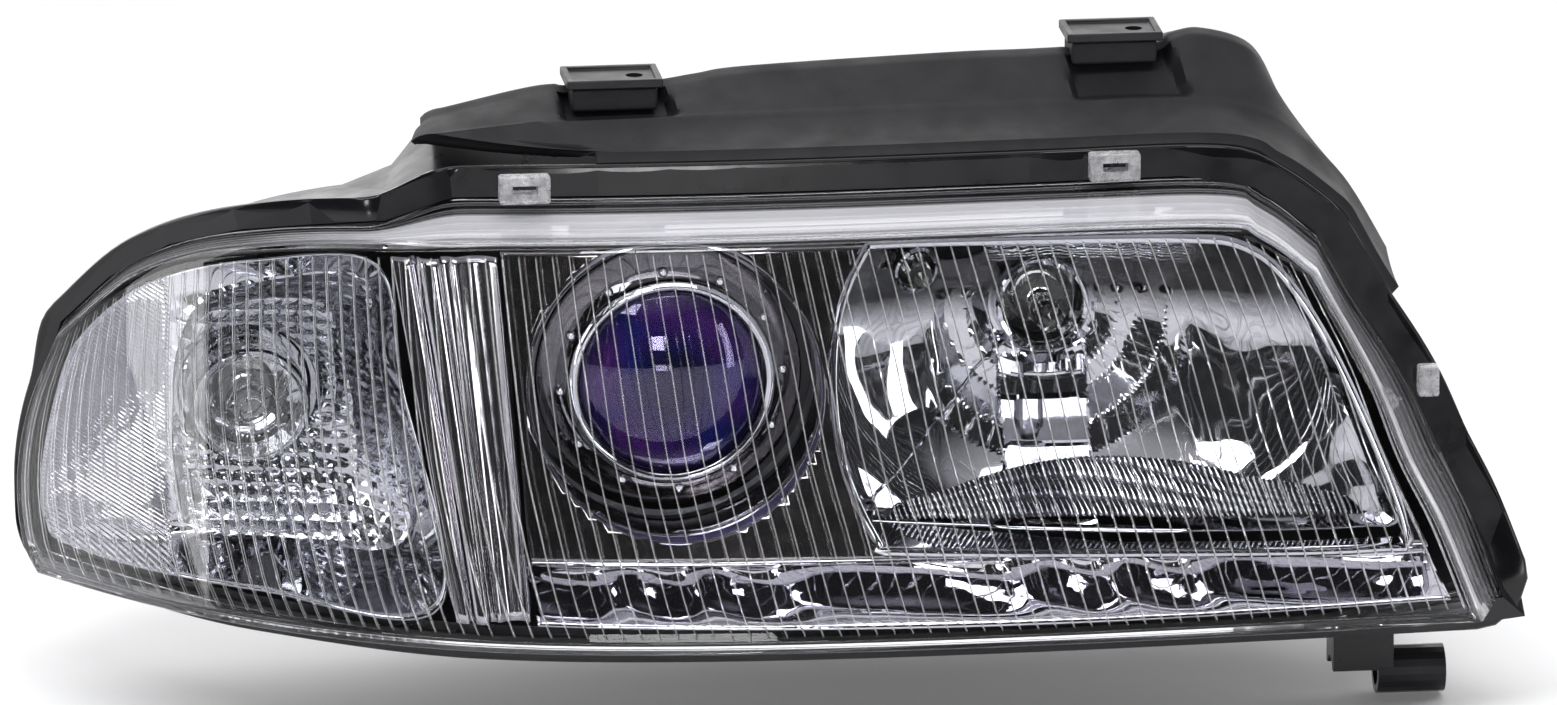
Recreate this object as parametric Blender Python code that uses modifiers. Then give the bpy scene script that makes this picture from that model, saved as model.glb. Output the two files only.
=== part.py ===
"""Car headlight assembly, right-hand side: clear lens, projector low beam, free-form high beam, indicator.

Sizes below are millimetres in the lamp's own frame: +X towards the grille, +Y rearwards, +Z up,
zero on the low-beam axis in the plane of the projector's trim ring. The finished lamp hangs on an
empty that moves the upper inner mounting pad to the world origin.
"""

import math

import bmesh
import bpy
from mathutils import Matrix, Vector

MM = 0.001
GAP = 0.3

# Lens front face: depth = NOSE + 10 s^2 + 120 s^6 + RAKE z, with s = (SWEEP_FROM - x) / SWEEP_SPAN
NOSE, RAKE = -37.9, 0.231
SWEEP_FROM, SWEEP_SPAN = 318.0, 558.0
LENS_BOTTOM = [(-242, -91), (-103, -96), (0, -97), (147, -96), (311, -93)]
LENS_RIGHT = [(311, -93), (297, -57), (284, -31), (271, 2), (250, 41)]
LENS_TOP = [(-232, 2.5), (-203, 33.5), (-161, 50.5), (-90, 57.5), (73, 60.5), (206, 61.5), (230, 56), (250, 41)]
LENS_LEFT = [(-242, -91), (-247, -79), (-248, -55), (-243, -27), (-232, 2.5)]
LENS_ACROSS, LENS_UP = 18, 5
LENS_WALL = 3.0
# Skirt of the lens: place round the edge (0 bottom left, 1 bottom right, 2 top right, 3 top left),
# how far the foot lies from the front edge in x, y, z, and the width of the housing's flange there
SKIRT = [
    (0.0, 4, 16, 3, 6), (0.15, 0, 20, -1, 6), (0.3, 0, 24, -4, 6), (0.88, 4, 28, -5, 6),
    (1.0, 16, 50, -3, 14), (1.5, 18, 54, -6, 14), (1.9, 11, 54, -4, 14), (2.0, 8, 52, 2, 14),
    (2.1, 4, 48, 6, 13), (2.2, 0, 45, 6, 13), (2.66, 0, 45, 6, 13), (2.74, 0, 14, 3, 11),
    (3.0, 3, 14, 2, 8), (3.3, 6, 15, 0, 6), (3.7, 6, 15, 0, 6), (4.0, 4, 16, 3, 6),
]

# Housing
WALL = 2.5
REAR = 160.0
REAR_STEP = 30.0
REAR_DROP = 0.28
REAR_X, REAR_Z = (-208.0, 290.0), (-88.0, 72.0)
FOOT_X, FOOT_Z = (-243.0, 333.0), (-102.0, 68.0)
WALL_BACK = REAR + WALL

# Aiming: fixed ball, levelling rod below it, horizontal screw beside it
PIVOT = (82.0, 75.0, 0.0)
LEVEL_Z = -62.0
AIM_X = 225.0
BALL = 6.2

# Optics
LOW_AXIS = (0.0, 0.0)
HIGH_AXIS = (152.0, 14.0)
PARKING = (102.0, 30.0)
SHROUD_IN, SHROUD_WALL = 56.4, 1.6
SHROUD_SETBACK, SHROUD_END = 8.5, 12.0
RING_IN, RING_OUT = 41.0, 52.3
PROJECTOR_LENS_R = 36.0
STUD_CIRCLE = 43.5
STUDS = 12
BEZEL_COLUMNS = 11
OPENING_STEPS = 30
TUBE_R = 38.0
FLANGE_R, SCREW_CIRCLE = 49.5, 45.0
STACK = 50.0
BULB_SEAT = 112.0
LOW_CLIP = (LOW_AXIS[0], BULB_SEAT + 3, LOW_AXIS[1] - 20)
HIGH_CLIP = (HIGH_AXIS[0], 61.8, HIGH_AXIS[1] - 24)
HIGH_OPENING = [
    (76, 50), (66, 28), (63, 0), (67, -32), (79, -59), (86, -62), (180, -65), (272, -66), (283, -59),
    (260, 0), (240, 34), (223, 48), (200, 51.5), (140, 52.5), (84, 52.5),
]
INDICATOR_AXIS = (-160.0, -17.5)
INDICATOR_RIM = [
    (-113, 46), (-104, 0), (-92, -83), (-160, -83), (-226, -80), (-237, -72), (-238, -55), (-233, -26),
    (-223, 2), (-197, 29), (-158, 44),
]
INDICATOR_FIELD = [
    (-116, 36), (-110, 0), (-100, -70), (-150, -72), (-180, -70), (-188, -62), (-190, -45), (-190, -20),
    (-188, 4), (-178, 24), (-150, 35),
]

# Rear covers
LOW_COLLAR, HIGH_COLLAR = 45.0, 37.0
BAIL_AXIS = (170.0, 57.0)
COVER_AXIS = (168.0, 53.0)

# Upper inner mounting pad: its top face's middle is the part's origin
PAD_INNER = (185.0, 85.0, 115.0)
PAD_OUTER = (-14.0, 77.0, 104.0)
PAD_SIZE = (38.0, 26.0, 3.6)
NUT_HOLE = 9.0
CREASE_Y, COVER_BACK = 56.0, 132.0
COVER_COLUMNS = 20
FOOT = (288.0, 18.0, -133.0)

FINISHES = {
    "clear_lens": ((0.9, 0.93, 0.95), 0.0, 0.03, 1.0),
    "black_housing": ((0.02, 0.02, 0.022), 0.0, 0.3, 0.0),
    "black_cover": ((0.03, 0.03, 0.032), 0.0, 0.7, 0.0),
    "black_rubber": ((0.02, 0.02, 0.02), 0.0, 0.8, 0.0),
    "chrome": ((0.85, 0.86, 0.88), 1.0, 0.05, 0.0),
    "smoked_chrome": ((0.35, 0.34, 0.35), 1.0, 0.08, 0.0),
    "projector_glass": ((0.35, 0.33, 0.9), 0.0, 0.02, 1.0),
    "clear_glass": ((0.95, 0.95, 0.95), 0.0, 0.02, 1.0),
    "cast_aluminium": ((0.55, 0.56, 0.58), 1.0, 0.45, 0.0),
    "zinc_steel": ((0.6, 0.6, 0.62), 1.0, 0.3, 0.0),
    "grey_plastic": ((0.2, 0.2, 0.21), 0.0, 0.5, 0.0),
    "white_plastic": ((0.8, 0.8, 0.78), 0.0, 0.45, 0.0),
}

ROOT = None
PARTS = None
CUTTERS = None
BODIES = {}


def start_scene():
    """Clears the scene and makes the collections, the root empty and one empty for each moving body."""
    global ROOT, PARTS, CUTTERS
    for old in list(bpy.data.objects):
        bpy.data.objects.remove(old, do_unlink=True)
    PARTS = bpy.data.collections.new("headlight")
    CUTTERS = bpy.data.collections.new("headlight_cutters")
    bpy.context.scene.collection.children.link(PARTS)
    bpy.context.scene.collection.children.link(CUTTERS)
    ROOT = empty("headlight_root", None, tuple(-c for c in PAD_INNER))
    axes = {
        "aim_link": (None, PIVOT),
        "beam_unit": ("aim_link", PIVOT),
        "low_bulb_clip": ("beam_unit", LOW_CLIP),
        "high_bulb_clip": ("beam_unit", HIGH_CLIP),
        "levelling_rod": (None, (PIVOT[0], PIVOT[1], LEVEL_Z)),
        "level_adjuster": (None, (PIVOT[0], 206, LEVEL_Z)),
        "aim_adjuster": (None, (AIM_X, REAR, PIVOT[2])),
        "rear_bail": (None, (0, *BAIL_AXIS)),
        "low_cover": (None, (0, *COVER_AXIS)),
        "high_cap": (None, (HIGH_AXIS[0], REAR, HIGH_AXIS[1])),
        "indicator_holder": (None, (INDICATOR_AXIS[0], 118, INDICATOR_AXIS[1])),
    }
    for name, (parent, place) in axes.items():
        BODIES[name] = empty(name + "_axis", parent, place)


def empty(name, parent, place):
    """An axis marker: place is in the lamp's frame, or in the world for the root."""
    marker = bpy.data.objects.new(name, None)
    marker["lamp_place"] = place if parent is not None or ROOT is not None else (0, 0, 0)
    if ROOT is not None:
        holder = BODIES[parent] if parent else ROOT
        marker.parent = holder
        place = [p - q for p, q in zip(place, holder["lamp_place"])]
    marker.location = Vector(place) * MM
    PARTS.objects.link(marker)
    return marker


def finish(slot):
    """The Principled material of one slot, made once."""
    material = bpy.data.materials.get(slot)
    if material is None:
        color, metallic, roughness, transmission = FINISHES[slot]
        material = bpy.data.materials.new(slot)
        material.use_nodes = True
        shader = material.node_tree.nodes["Principled BSDF"]
        shader.inputs["Base Color"].default_value = (*color, 1)
        shader.inputs["Metallic"].default_value = metallic
        shader.inputs["Roughness"].default_value = roughness
        shader.inputs["Transmission Weight"].default_value = transmission
    return material


def add(name, mesh, slot=None, body=None, turn=None, place=(0, 0, 0)):
    """Links a mesh as a part of a body, or as a hidden cutter when it has no slot."""
    obj = bpy.data.objects.new(name, mesh)
    (PARTS if slot else CUTTERS).objects.link(obj)
    holder = BODIES[body] if body else ROOT
    obj.parent = holder
    obj.location = (Vector(place) - Vector(holder["lamp_place"])) * MM
    if turn:
        obj.rotation_euler = turn
    if slot:
        mesh.materials.append(finish(slot))
        mesh.shade_smooth()
        mesh.set_sharp_from_angle(angle=math.radians(35))
    else:
        obj.hide_render = True
        obj.display_type = "WIRE"
    return obj


def mesh_of(bm, name):
    mesh = bpy.data.meshes.new(name)
    bm.to_mesh(mesh)
    bm.free()
    return mesh


def thicken(obj, wall, side):
    """Gives a sheet its wall: side +1 grows along the face normals, -1 against them."""
    solid = obj.modifiers.new("wall", "SOLIDIFY")
    solid.thickness = wall * MM
    solid.offset = side
    solid.use_even_offset = True
    return obj


def combine(obj, other, operation):
    step = obj.modifiers.new(operation.lower(), "BOOLEAN")
    step.operation = operation
    step.object = other
    step.solver = "EXACT"
    return obj


def cut(obj, *others):
    for other in others:
        combine(obj, other, "DIFFERENCE")
    return obj


def join(obj, *others):
    for other in others:
        combine(obj, other, "UNION")
    return obj


def box(name, low, high, slot=None, body=None, rounding=0.0):
    """An axis-aligned block between two corners, with its edges rounded if asked."""
    bm = bmesh.new()
    size = [h - l for l, h in zip(low, high)]
    middle = [(l + h) / 2 for l, h in zip(low, high)]
    bmesh.ops.create_cube(bm, size=MM, matrix=Matrix.Diagonal((*size, 1)))
    obj = add(name, mesh_of(bm, name), slot, body, place=middle)
    if rounding:
        bevel = obj.modifiers.new("edges", "BEVEL")
        bevel.width = rounding * MM
        bevel.segments = 2
    return obj


AXIS_TURNS = {"X": (0, math.pi / 2, 0), "Y": (-math.pi / 2, 0, 0), "Z": (0, 0, 0)}


def rod(name, place, radius, length, axis="Y", slot=None, body=None, sides=20):
    """A cylinder that starts at place and runs along +axis."""
    bm = bmesh.new()
    lift = Matrix.Translation((0, 0, length * MM / 2))
    bmesh.ops.create_cone(
        bm,
        cap_ends=True,
        segments=sides,
        radius1=radius * MM,
        radius2=radius * MM,
        depth=length * MM,
        matrix=lift,
    )
    return add(name, mesh_of(bm, name), slot, body, AXIS_TURNS[axis], place)


def ball(name, place, radius, slot=None, body=None):
    bm = bmesh.new()
    bmesh.ops.create_uvsphere(bm, u_segments=12, v_segments=8, radius=radius * MM)
    return add(name, mesh_of(bm, name), slot, body, None, place)


def turned(name, centre, profile, slot=None, body=None, steps=28):
    """A solid turned about the Y axis through centre (x, z). The profile lists (radius, y), from the front
    down the outer side to the rear; a ring's profile goes on back up its bore and is closed."""
    bm = bmesh.new()
    points = [bm.verts.new((r * MM, 0, -y * MM)) for r, y in profile]
    for start, end in zip(points, points[1:]):
        bm.edges.new((start, end))
    if profile[0][0] > 0:
        bm.edges.new((points[-1], points[0]))
    obj = add(name, mesh_of(bm, name), slot, body, (math.pi / 2, 0, 0), (centre[0], 0, centre[1]))
    screw = obj.modifiers.new("turn", "SCREW")
    screw.steps = steps
    screw.render_steps = steps
    screw.use_merge_vertices = True
    screw.merge_threshold = 0.00001
    return obj


def wire(name, route, radius, slot, body):
    """A bent wire: a bevelled poly curve made into a welded mesh."""
    curve = bpy.data.curves.new(name, "CURVE")
    curve.dimensions = "3D"
    curve.bevel_depth = radius * MM
    curve.bevel_resolution = 1
    curve.use_fill_caps = True
    spline = curve.splines.new("POLY")
    spline.points.add(len(route) - 1)
    for point, where in zip(spline.points, route):
        point.co = (*[c * MM for c in where], 1)
    guide = bpy.data.objects.new(name + "_route", curve)
    CUTTERS.objects.link(guide)
    graph = bpy.context.evaluated_depsgraph_get()
    mesh = bpy.data.meshes.new_from_object(guide.evaluated_get(graph))
    bpy.data.objects.remove(guide, do_unlink=True)
    bm = bmesh.new()
    bm.from_mesh(mesh)
    bmesh.ops.remove_doubles(bm, verts=bm.verts, dist=0.000001)
    bmesh.ops.recalc_face_normals(bm, faces=bm.faces)
    mesh.materials.clear()
    bm.to_mesh(mesh)
    bm.free()
    mesh.name = name
    return add(name, mesh, slot, body)


def plate(name, outline, y_from, y_to, slot=None, body=None):
    """A flat plate in the XZ plane: the outline's points run anticlockwise as seen from the front."""
    bm = bmesh.new()
    verts = [bm.verts.new((x * MM, y_from * MM, z * MM)) for x, z in outline]
    face = bm.faces.new(verts)
    made = bmesh.ops.extrude_face_region(bm, geom=[face])["geom"]
    back = [item for item in made if isinstance(item, bmesh.types.BMVert)]
    bmesh.ops.translate(bm, verts=back, vec=(0, (y_to - y_from) * MM, 0))
    bmesh.ops.recalc_face_normals(bm, faces=bm.faces)
    return add(name, mesh_of(bm, name), slot, body)


def through(points, count, closed=False):
    """count points evenly spaced on a smooth curve through the given ones (closed: no repeated end)."""
    knots = [Vector(p) for p in points]
    total = len(knots)
    dense = []
    for i in range(total if closed else total - 1):
        if closed:
            a, b, c, d = (knots[(i + k) % total] for k in (-1, 0, 1, 2))
        else:
            a, b, c, d = knots[max(i - 1, 0)], knots[i], knots[i + 1], knots[min(i + 2, total - 1)]
        for step in range(16):
            t = step / 16
            dense.append(
                0.5 * (2 * b + (c - a) * t)
                + 0.5 * ((2 * a - 5 * b + 4 * c - d) * t**2 + (3 * b - a - 3 * c + d) * t**3)
            )
    dense.append(knots[0] if closed else knots[-1])
    reach = [0.0]
    for p, q in zip(dense, dense[1:]):
        reach.append(reach[-1] + (q - p).length)
    picked = []
    j = 0
    for k in range(count):
        goal = reach[-1] * k / (count if closed else count - 1)
        while j < len(reach) - 2 and reach[j + 1] < goal:
            j += 1
        share = (goal - reach[j]) / max(reach[j + 1] - reach[j], 1e-9)
        picked.append(dense[j].lerp(dense[j + 1], share))
    return picked


def blend(stations, at):
    """Reads a table of (place, values...) at a place, easing between its rows."""
    for low, high in zip(stations, stations[1:]):
        if at <= high[0]:
            t = (at - low[0]) / (high[0] - low[0])
            t = t * t * (3 - 2 * t)
            return [a + (b - a) * t for a, b in zip(low[1:], high[1:])]
    return list(stations[-1][1:])


def front_depth(x, z):
    s = (SWEEP_FROM - x) / SWEEP_SPAN
    return NOSE + 10 * s**2 + 120 * s**6 + RAKE * z


def coons(bottom, right, top, left):
    """A patch between four edges: rows run up, each row left to right. Opposite edges have equal counts."""
    across, up = len(bottom) - 1, len(left) - 1
    rows = []
    for j in range(up + 1):
        v = j / up
        row = []
        for i in range(across + 1):
            u = i / across
            ruled = bottom[i] * (1 - v) + top[i] * v + left[j] * (1 - u) + right[j] * u
            corners = (bottom[0] * (1 - u) + bottom[-1] * u) * (1 - v) + (top[0] * (1 - u) + top[-1] * u) * v
            row.append(ruled - corners)
        rows.append(row)
    return rows


def rim_of(rows):
    """The patch's edge as one loop: bottom, right, top, left, anticlockwise as seen from the front."""
    right = [row[-1] for row in rows[1:]]
    left = [row[0] for row in rows[1:-1]]
    return list(rows[0]) + right + list(reversed(rows[-1]))[1:] + list(reversed(left))


def outward(loop):
    """Unit normals of a loop in the XZ plane, pointing out of it."""
    normals = []
    for k in range(len(loop)):
        along = loop[(k + 1) % len(loop)] - loop[k - 1]
        normals.append(Vector((along.z, 0, -along.x)).normalized())
    return normals


def loop_of(outline, count, depth):
    """A closed smooth outline of (x, z) points, anticlockwise from the front, at depth(x, z)."""
    flat = through([(x, 0, z) for x, z in outline], count, closed=True)
    return [Vector((p.x, depth(p.x, p.z), p.z)) for p in flat]


def moved(loop, out=0.0, back=0.0):
    """The loop moved outwards and rearwards; either may be a list with a value for each point."""
    outs = out if isinstance(out, list) else [out] * len(loop)
    backs = back if isinstance(back, list) else [back] * len(loop)
    return [p + n * o + Vector((0, b, 0)) for p, n, o, b in zip(loop, outward(loop), outs, backs)]


def skin(name, loops, slot=None, body=None, front=None, rear=None, ring=False):
    """Skins loops laid front to rear with outward faces. front or rear is a patch of rows, or True for a flat
    end; ring joins the last loop to the first."""
    bm = bmesh.new()
    rings = [[bm.verts.new(p * MM) for p in loop] for loop in loops]
    count = len(rings[0])
    pairs = list(zip(rings, rings[1:]))
    if ring:
        pairs.append((rings[-1], rings[0]))
    for near, far in pairs:
        for k in range(count):
            n = (k + 1) % count
            bm.faces.new((near[k], far[k], far[n], near[n]))
    for rows, edge, flip in ((front, rings[0], False), (rear, rings[-1], True)):
        if rows is True:
            bm.faces.new(list(reversed(edge)) if flip else edge)
        elif rows:
            patch(bm, rows, edge, flip)
    return add(name, mesh_of(bm, name), slot, body)


def patch(bm, rows, edge, flip):
    """Fills a loop with its patch's inner points. The loop's points are the patch's rim."""
    up, across = len(rows) - 1, len(rows[0]) - 1
    grid = [[None] * (across + 1) for _ in rows]
    ring = [(0, i) for i in range(across + 1)] + [(j, across) for j in range(1, up + 1)]
    ring += [(up, i) for i in range(across - 1, -1, -1)] + [(j, 0) for j in range(up - 1, 0, -1)]
    for vert, (j, i) in zip(edge, ring):
        grid[j][i] = vert
    for j in range(1, up):
        for i in range(1, across):
            grid[j][i] = bm.verts.new(rows[j][i] * MM)
    for j in range(up):
        for i in range(across):
            quad = (grid[j][i], grid[j][i + 1], grid[j + 1][i + 1], grid[j + 1][i])
            bm.faces.new(reversed(quad) if flip else quad)


def sheet(name, rows, wall, slot, body=None):
    """A curved plate from rows of points: its face looks forwards and its wall grows rearwards."""
    bm = bmesh.new()
    grid = [[bm.verts.new(p * MM) for p in row] for row in rows]
    for low, high in zip(grid, grid[1:]):
        for i in range(len(low) - 1):
            bm.faces.new((low[i], low[i + 1], high[i + 1], high[i]))
    return thicken(add(name, mesh_of(bm, name), slot, body), wall, -1)


def lens_patch():
    flat = [
        through([(x, 0, z) for x, z in edge], count + 1)
        for edge, count in (
            (LENS_BOTTOM, LENS_ACROSS), (LENS_RIGHT, LENS_UP), (LENS_TOP, LENS_ACROSS), (LENS_LEFT, LENS_UP)
        )
    ]
    rows = coons(*flat)
    return [[Vector((p.x, front_depth(p.x, p.z), p.z)) for p in row] for row in rows]


def foot_loop(rows):
    """The loop where the lens stands in its groove, and the flange's width at each of its points."""
    edge = rim_of(rows)
    places = [i / LENS_ACROSS for i in range(LENS_ACROSS)]
    places += [1 + j / LENS_UP for j in range(LENS_UP)]
    places += [2 + i / LENS_ACROSS for i in range(LENS_ACROSS)]
    places += [3 + j / LENS_UP for j in range(LENS_UP)]
    foot, widths = [], []
    for point, at in zip(edge, places):
        dx, dy, dz, width = blend(SKIRT, at)
        foot.append(point + Vector((dx, dy, dz)))
        widths.append(width)
    return foot, widths


def outer_share(x):
    """0 behind the main chamber, 1 behind the indicator."""
    t = min(max((-66 - x) / 40, 0), 1)
    return t * t * (3 - 2 * t)


def rear_depth(x):
    """The rear wall stands further forward behind the indicator."""
    return REAR - REAR_STEP * outer_share(x)


def rear_patch(foot):
    """The rear wall: the foot's outline, scaled to the rear wall's width and height."""
    def scaled(p):
        x = REAR_X[0] + (p.x - FOOT_X[0]) * (REAR_X[1] - REAR_X[0]) / (FOOT_X[1] - FOOT_X[0])
        z = REAR_Z[0] + (p.z - FOOT_Z[0]) * (REAR_Z[1] - REAR_Z[0]) / (FOOT_Z[1] - FOOT_Z[0])
        if z > 0:
            z *= 1 - REAR_DROP * outer_share(x)
        return Vector((x, 0, z))

    loop = [scaled(p) for p in foot]
    a, b = LENS_ACROSS, LENS_UP
    rows = coons(
        loop[: a + 1],
        loop[a : a + b + 1],
        list(reversed(loop[a + b : 2 * a + b + 1])),
        list(reversed(loop[2 * a + b :] + [loop[0]])),
    )
    return [[Vector((p.x, rear_depth(p.x), p.z)) for p in row] for row in rows]


def make_lens(rows, foot):
    edge = rim_of(rows)
    shoulder = [p.lerp(q, 0.07) + n * 0.8 for p, q, n in zip(edge, foot, outward(edge))]
    middle = [p.lerp(q, 0.5) for p, q in zip(edge, foot)]
    lens = skin("lens", [edge, shoulder, middle, foot], "clear_lens", front=rows)
    thicken(lens, LENS_WALL, -1).modifiers["wall"].use_even_offset = False
    seal = [moved(foot, -3.0, 2.9), moved(foot, -0.4, 2.9), moved(foot, -0.4, 4.4), moved(foot, -3.0, 4.4)]
    skin("lens_seal", seal, "black_rubber", ring=True)


def make_housing(foot, widths):
    rear = rear_patch(foot)
    rim = rim_of(rear)
    inner = moved(foot, -6, 7)
    loops = [
        moved(foot, widths, 0), moved(foot, 1.5, -2), moved(foot, 1.5, 7), inner,
        [p.lerp(q, 0.5) + n * 2 for p, q, n in zip(inner, rim, outward(foot))],
        moved(rim, 3, -9), rim,
    ]
    housing = skin("housing", loops, "black_housing", rear=rear)
    thicken(housing, WALL, 1).modifiers["wall"].use_even_offset = False
    x, z = HIGH_AXIS
    join(
        housing,
        rod("low_collar", (0, REAR + 1, 0), LOW_COLLAR, 11, sides=24),
        rod("high_collar", (x, REAR + 1, z), HIGH_COLLAR, 9, sides=20),
        box("bail_ear_left", (-60, REAR + 1, 50), (-55, 175, 62)),
        box("bail_ear_right", (55, REAR + 1, 50), (60, 175, 62)),
        box("hinge_lug_left", (-14, REAR + 1, 49), (-9, 171.5, 57)),
        box("hinge_lug_right", (9, REAR + 1, 49), (14, 171.5, 57)),
    )
    cut(
        housing,
        rod("low_opening", (0, REAR - 10, 0), LOW_COLLAR - 4, 40, sides=24),
        rod("high_opening", (x, REAR - 10, z), HIGH_COLLAR - 4, 40, sides=20),
        rod("bail_bore", (-70, *BAIL_AXIS), 2.1, 140, "X", sides=12),
        rod("hinge_bore", (-30, *COVER_AXIS), 1.9, 60, "X", sides=12),
        rod("motor_hole", (PIVOT[0], REAR - 10, LEVEL_Z), 13.2, 30, sides=16),
        rod("stud_hole", (PIVOT[0], REAR - 10, PIVOT[2]), 4.2, 30, sides=12),
        rod("aim_hole", (AIM_X, REAR - 10, PIVOT[2]), 7.2, 30, sides=16),
        rod("indicator_hole", (INDICATOR_AXIS[0], 110, INDICATOR_AXIS[1]), 19, 50, sides=16),
        rod("vent_hole_inner", (215, REAR - 10, -55), 4.6, 30, sides=10),
        rod("vent_hole_outer", (-62, 100, 40), 4.6, 80, sides=10),
        box("socket_hole", (14, REAR - 10, -80), (44, REAR + 20, -62)),
    )
    return housing


def cover_end(x, y):
    """Shortens the cover's outer end more the further back it is."""
    t = min(max((-40 - x) / 55, 0), 1)
    return 12 * t * t * (3 - 2 * t) * (y - CREASE_Y) / (COVER_BACK - CREASE_Y)


def make_top_cover(foot, widths):
    """A matt black overlay: its front band follows the flange, and its hump carries the mounting pads."""
    crease = [
        (-95, 86), (-49, 90), (-35, 90), (41, 91), (149, 92), (208, 92),
        (238, 87), (255, 77), (274, 58), (291, 29),
    ]
    crest = [
        (-95, 87), (-49, 95.5), (-33, 97), (-10, 97.2), (5, 97.4), (20, 99.5),
        (41, 102), (120, 105), (155, 105.5), (200, 107),
        (208, 110), (220, 112), (240, 105), (251, 86), (259, 66), (272, 40),
    ]
    levels = ((crease, CREASE_Y, 0), (crest, 78, 0), (crest, 84, 1.5), (crest, COVER_BACK, -12))
    first, last = LENS_ACROSS + LENS_UP - 1, 2 * LENS_ACROSS + LENS_UP - 7
    rows = []
    for out, back in ((-4, 3.2), (0.5, 3.2), (4, 6)):
        band = moved(foot, [width + out for width in widths], back)[first:last]
        rows.append(through(list(reversed(band)), COVER_COLUMNS))
    for line, y, lift in levels:
        points = through([(x, 0, z) for x, z in line], COVER_COLUMNS)
        rows.append([Vector((p.x + cover_end(p.x, y), y, p.z + lift)) for p in points])
    cover = sheet("top_cover", rows, WALL, "black_cover")
    for tag, pad in (("inner", PAD_INNER), ("outer", PAD_OUTER)):
        low = (pad[0] - 17, pad[1] - 11, pad[2] - 13)
        high = (pad[0] + 17, pad[1] + 11, pad[2] - PAD_SIZE[2] - GAP)
        join(cover, box("pad_seat_" + tag, low, high))
        half_x, half_y, thick = PAD_SIZE[0] / 2, PAD_SIZE[1] / 2, PAD_SIZE[2]
        nut = box(
            "clip_nut_" + tag,
            (pad[0] - half_x, pad[1] - half_y, pad[2] - thick),
            (pad[0] + half_x, pad[1] + half_y, pad[2]),
            "zinc_steel",
        )
        cut(nut, rod("nut_hole_" + tag, (pad[0] + NUT_HOLE, pad[1], pad[2] - 20), 3.4, 40, "Z", sides=12))
        cut(cover, rod("seat_hole_" + tag, (pad[0] + NUT_HOLE, pad[1], pad[2] - 30), 3.7, 60, "Z", sides=12))


def make_lower_foot(housing):
    """The bracket under the housing's inner end, with a rubber-lined eye along X."""
    x, y, z = FOOT
    join(
        housing,
        box("foot_plate", (x - 24, y - 9, z + 2), (x, y + 9, -86)),
        box("foot_web", (x - 4, y - 6, z), (x - 1, y + 6, -88)),
        rod("foot_eye", (x - 6, y, z), 9.5, 27, "X"),
    )
    cut(housing, rod("foot_bore", (x - 30, y, z), 6.4, 60, "X"))
    bush = rod("foot_bush", (x - 4, y, z), 6.0, 25.5, "X", "black_rubber")
    cut(bush, rod("bush_bore", (x - 20, y, z), 3.2, 60, "X", sides=12))


def bezel_setback(z):
    return blend([(-90, 5), (-78, 25), (-66, 24), (-60, 16), (-50, 14.5), (80, 13)], z)[0]


def make_bezel():
    """The smoked mirror panel: a shelf at the foot, the projector's shroud and the high-beam lip."""
    left = [(-56, -88), (-57.5, -77), (-58.5, -66), (-60, -55), (-62, -10), (-64, 30)]
    middle = [(120, -90), (120, -78), (120, -66), (120, -55), (120, -10), (120, 30)]
    right = [(301, -86), (297, -77), (293, -66), (288, -55), (268, -10), (250, 25)]
    top = [(-66, 52), (73, 54), (200, 54.5), (222, 51), (241, 41)]
    rows = []
    for knots in list(zip(left, middle, right)) + [top]:
        line = through([(x, 0, z) for x, z in knots], BEZEL_COLUMNS)
        rows.append([Vector((p.x, lip_depth(p.x, p.z), p.z)) for p in line])
    bezel = sheet("bezel", rows, WALL, "smoked_chrome")
    opening = loop_of(HIGH_OPENING, OPENING_STEPS, lambda x, z: 0)
    cut(
        bezel,
        rod("shroud_hole", (0, -80, 0), SHROUD_IN + 1, 120, sides=30),
        skin("high_hole", [moved(opening, 1, -80), moved(opening, 1, 40)], front=True, rear=True),
    )
    join(bezel, shroud(), high_lip())


def shroud():
    """The tube round the projector, cut on the slant of the lens."""
    def circle(radius, setback=None):
        points = []
        for k in range(30):
            x, z = radius * math.cos(k * math.pi / 15), radius * math.sin(k * math.pi / 15)
            y = SHROUD_END if setback is None else front_depth(x, z) + setback
            points.append(Vector((x, y, z)))
        return points

    wall = SHROUD_IN + SHROUD_WALL
    loops = [
        circle(SHROUD_IN + 0.8, SHROUD_SETBACK - 1), circle(wall, SHROUD_SETBACK),
        circle(wall), circle(SHROUD_IN), circle(SHROUD_IN, SHROUD_SETBACK),
    ]
    return skin("shroud", loops, ring=True)


def lip_depth(x, z):
    return front_depth(x, z) + bezel_setback(z)


def high_lip():
    """The bright lip round the high-beam opening, deep on the projector's side."""
    opening = loop_of(HIGH_OPENING, OPENING_STEPS, lip_depth)
    ends = []
    for p in opening:
        share = min(max((p.x - 62) / 110, 0), 1)
        ends.append(Vector((p.x, max(11 + p.y * share, p.y + 6), p.z)))
    loops = [
        moved(opening, 1.6, -3), moved(opening, 3.4, 0.5),
        moved(ends, 2.2, 0), moved(ends, 0, 0), moved(opening, 0, -1.4),
    ]
    return skin("high_lip", loops, ring=True)


def make_divider():
    """Chrome pillars between the indicator and the main chamber."""
    across = (0.0, 0.16, 0.22, 0.34, 0.46, 0.56, 0.8, 1.0)
    setbacks = (6.0, 5.5, 9.0, 5.0, 9.5, 9.0, 14.0, 11.0)
    rows = []
    for step in range(7):
        t = step / 6
        z = -88 + (50 + 88) * t
        left, right = -87 - 21 * t, -59 - 9 * t
        row = []
        for share, setback in zip(across, setbacks):
            x = left + (right - left) * share
            row.append(Vector((x, front_depth(x, z) + setback, z)))
        rows.append(row)
    sheet("divider", rows, 2.0, "chrome")


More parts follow.
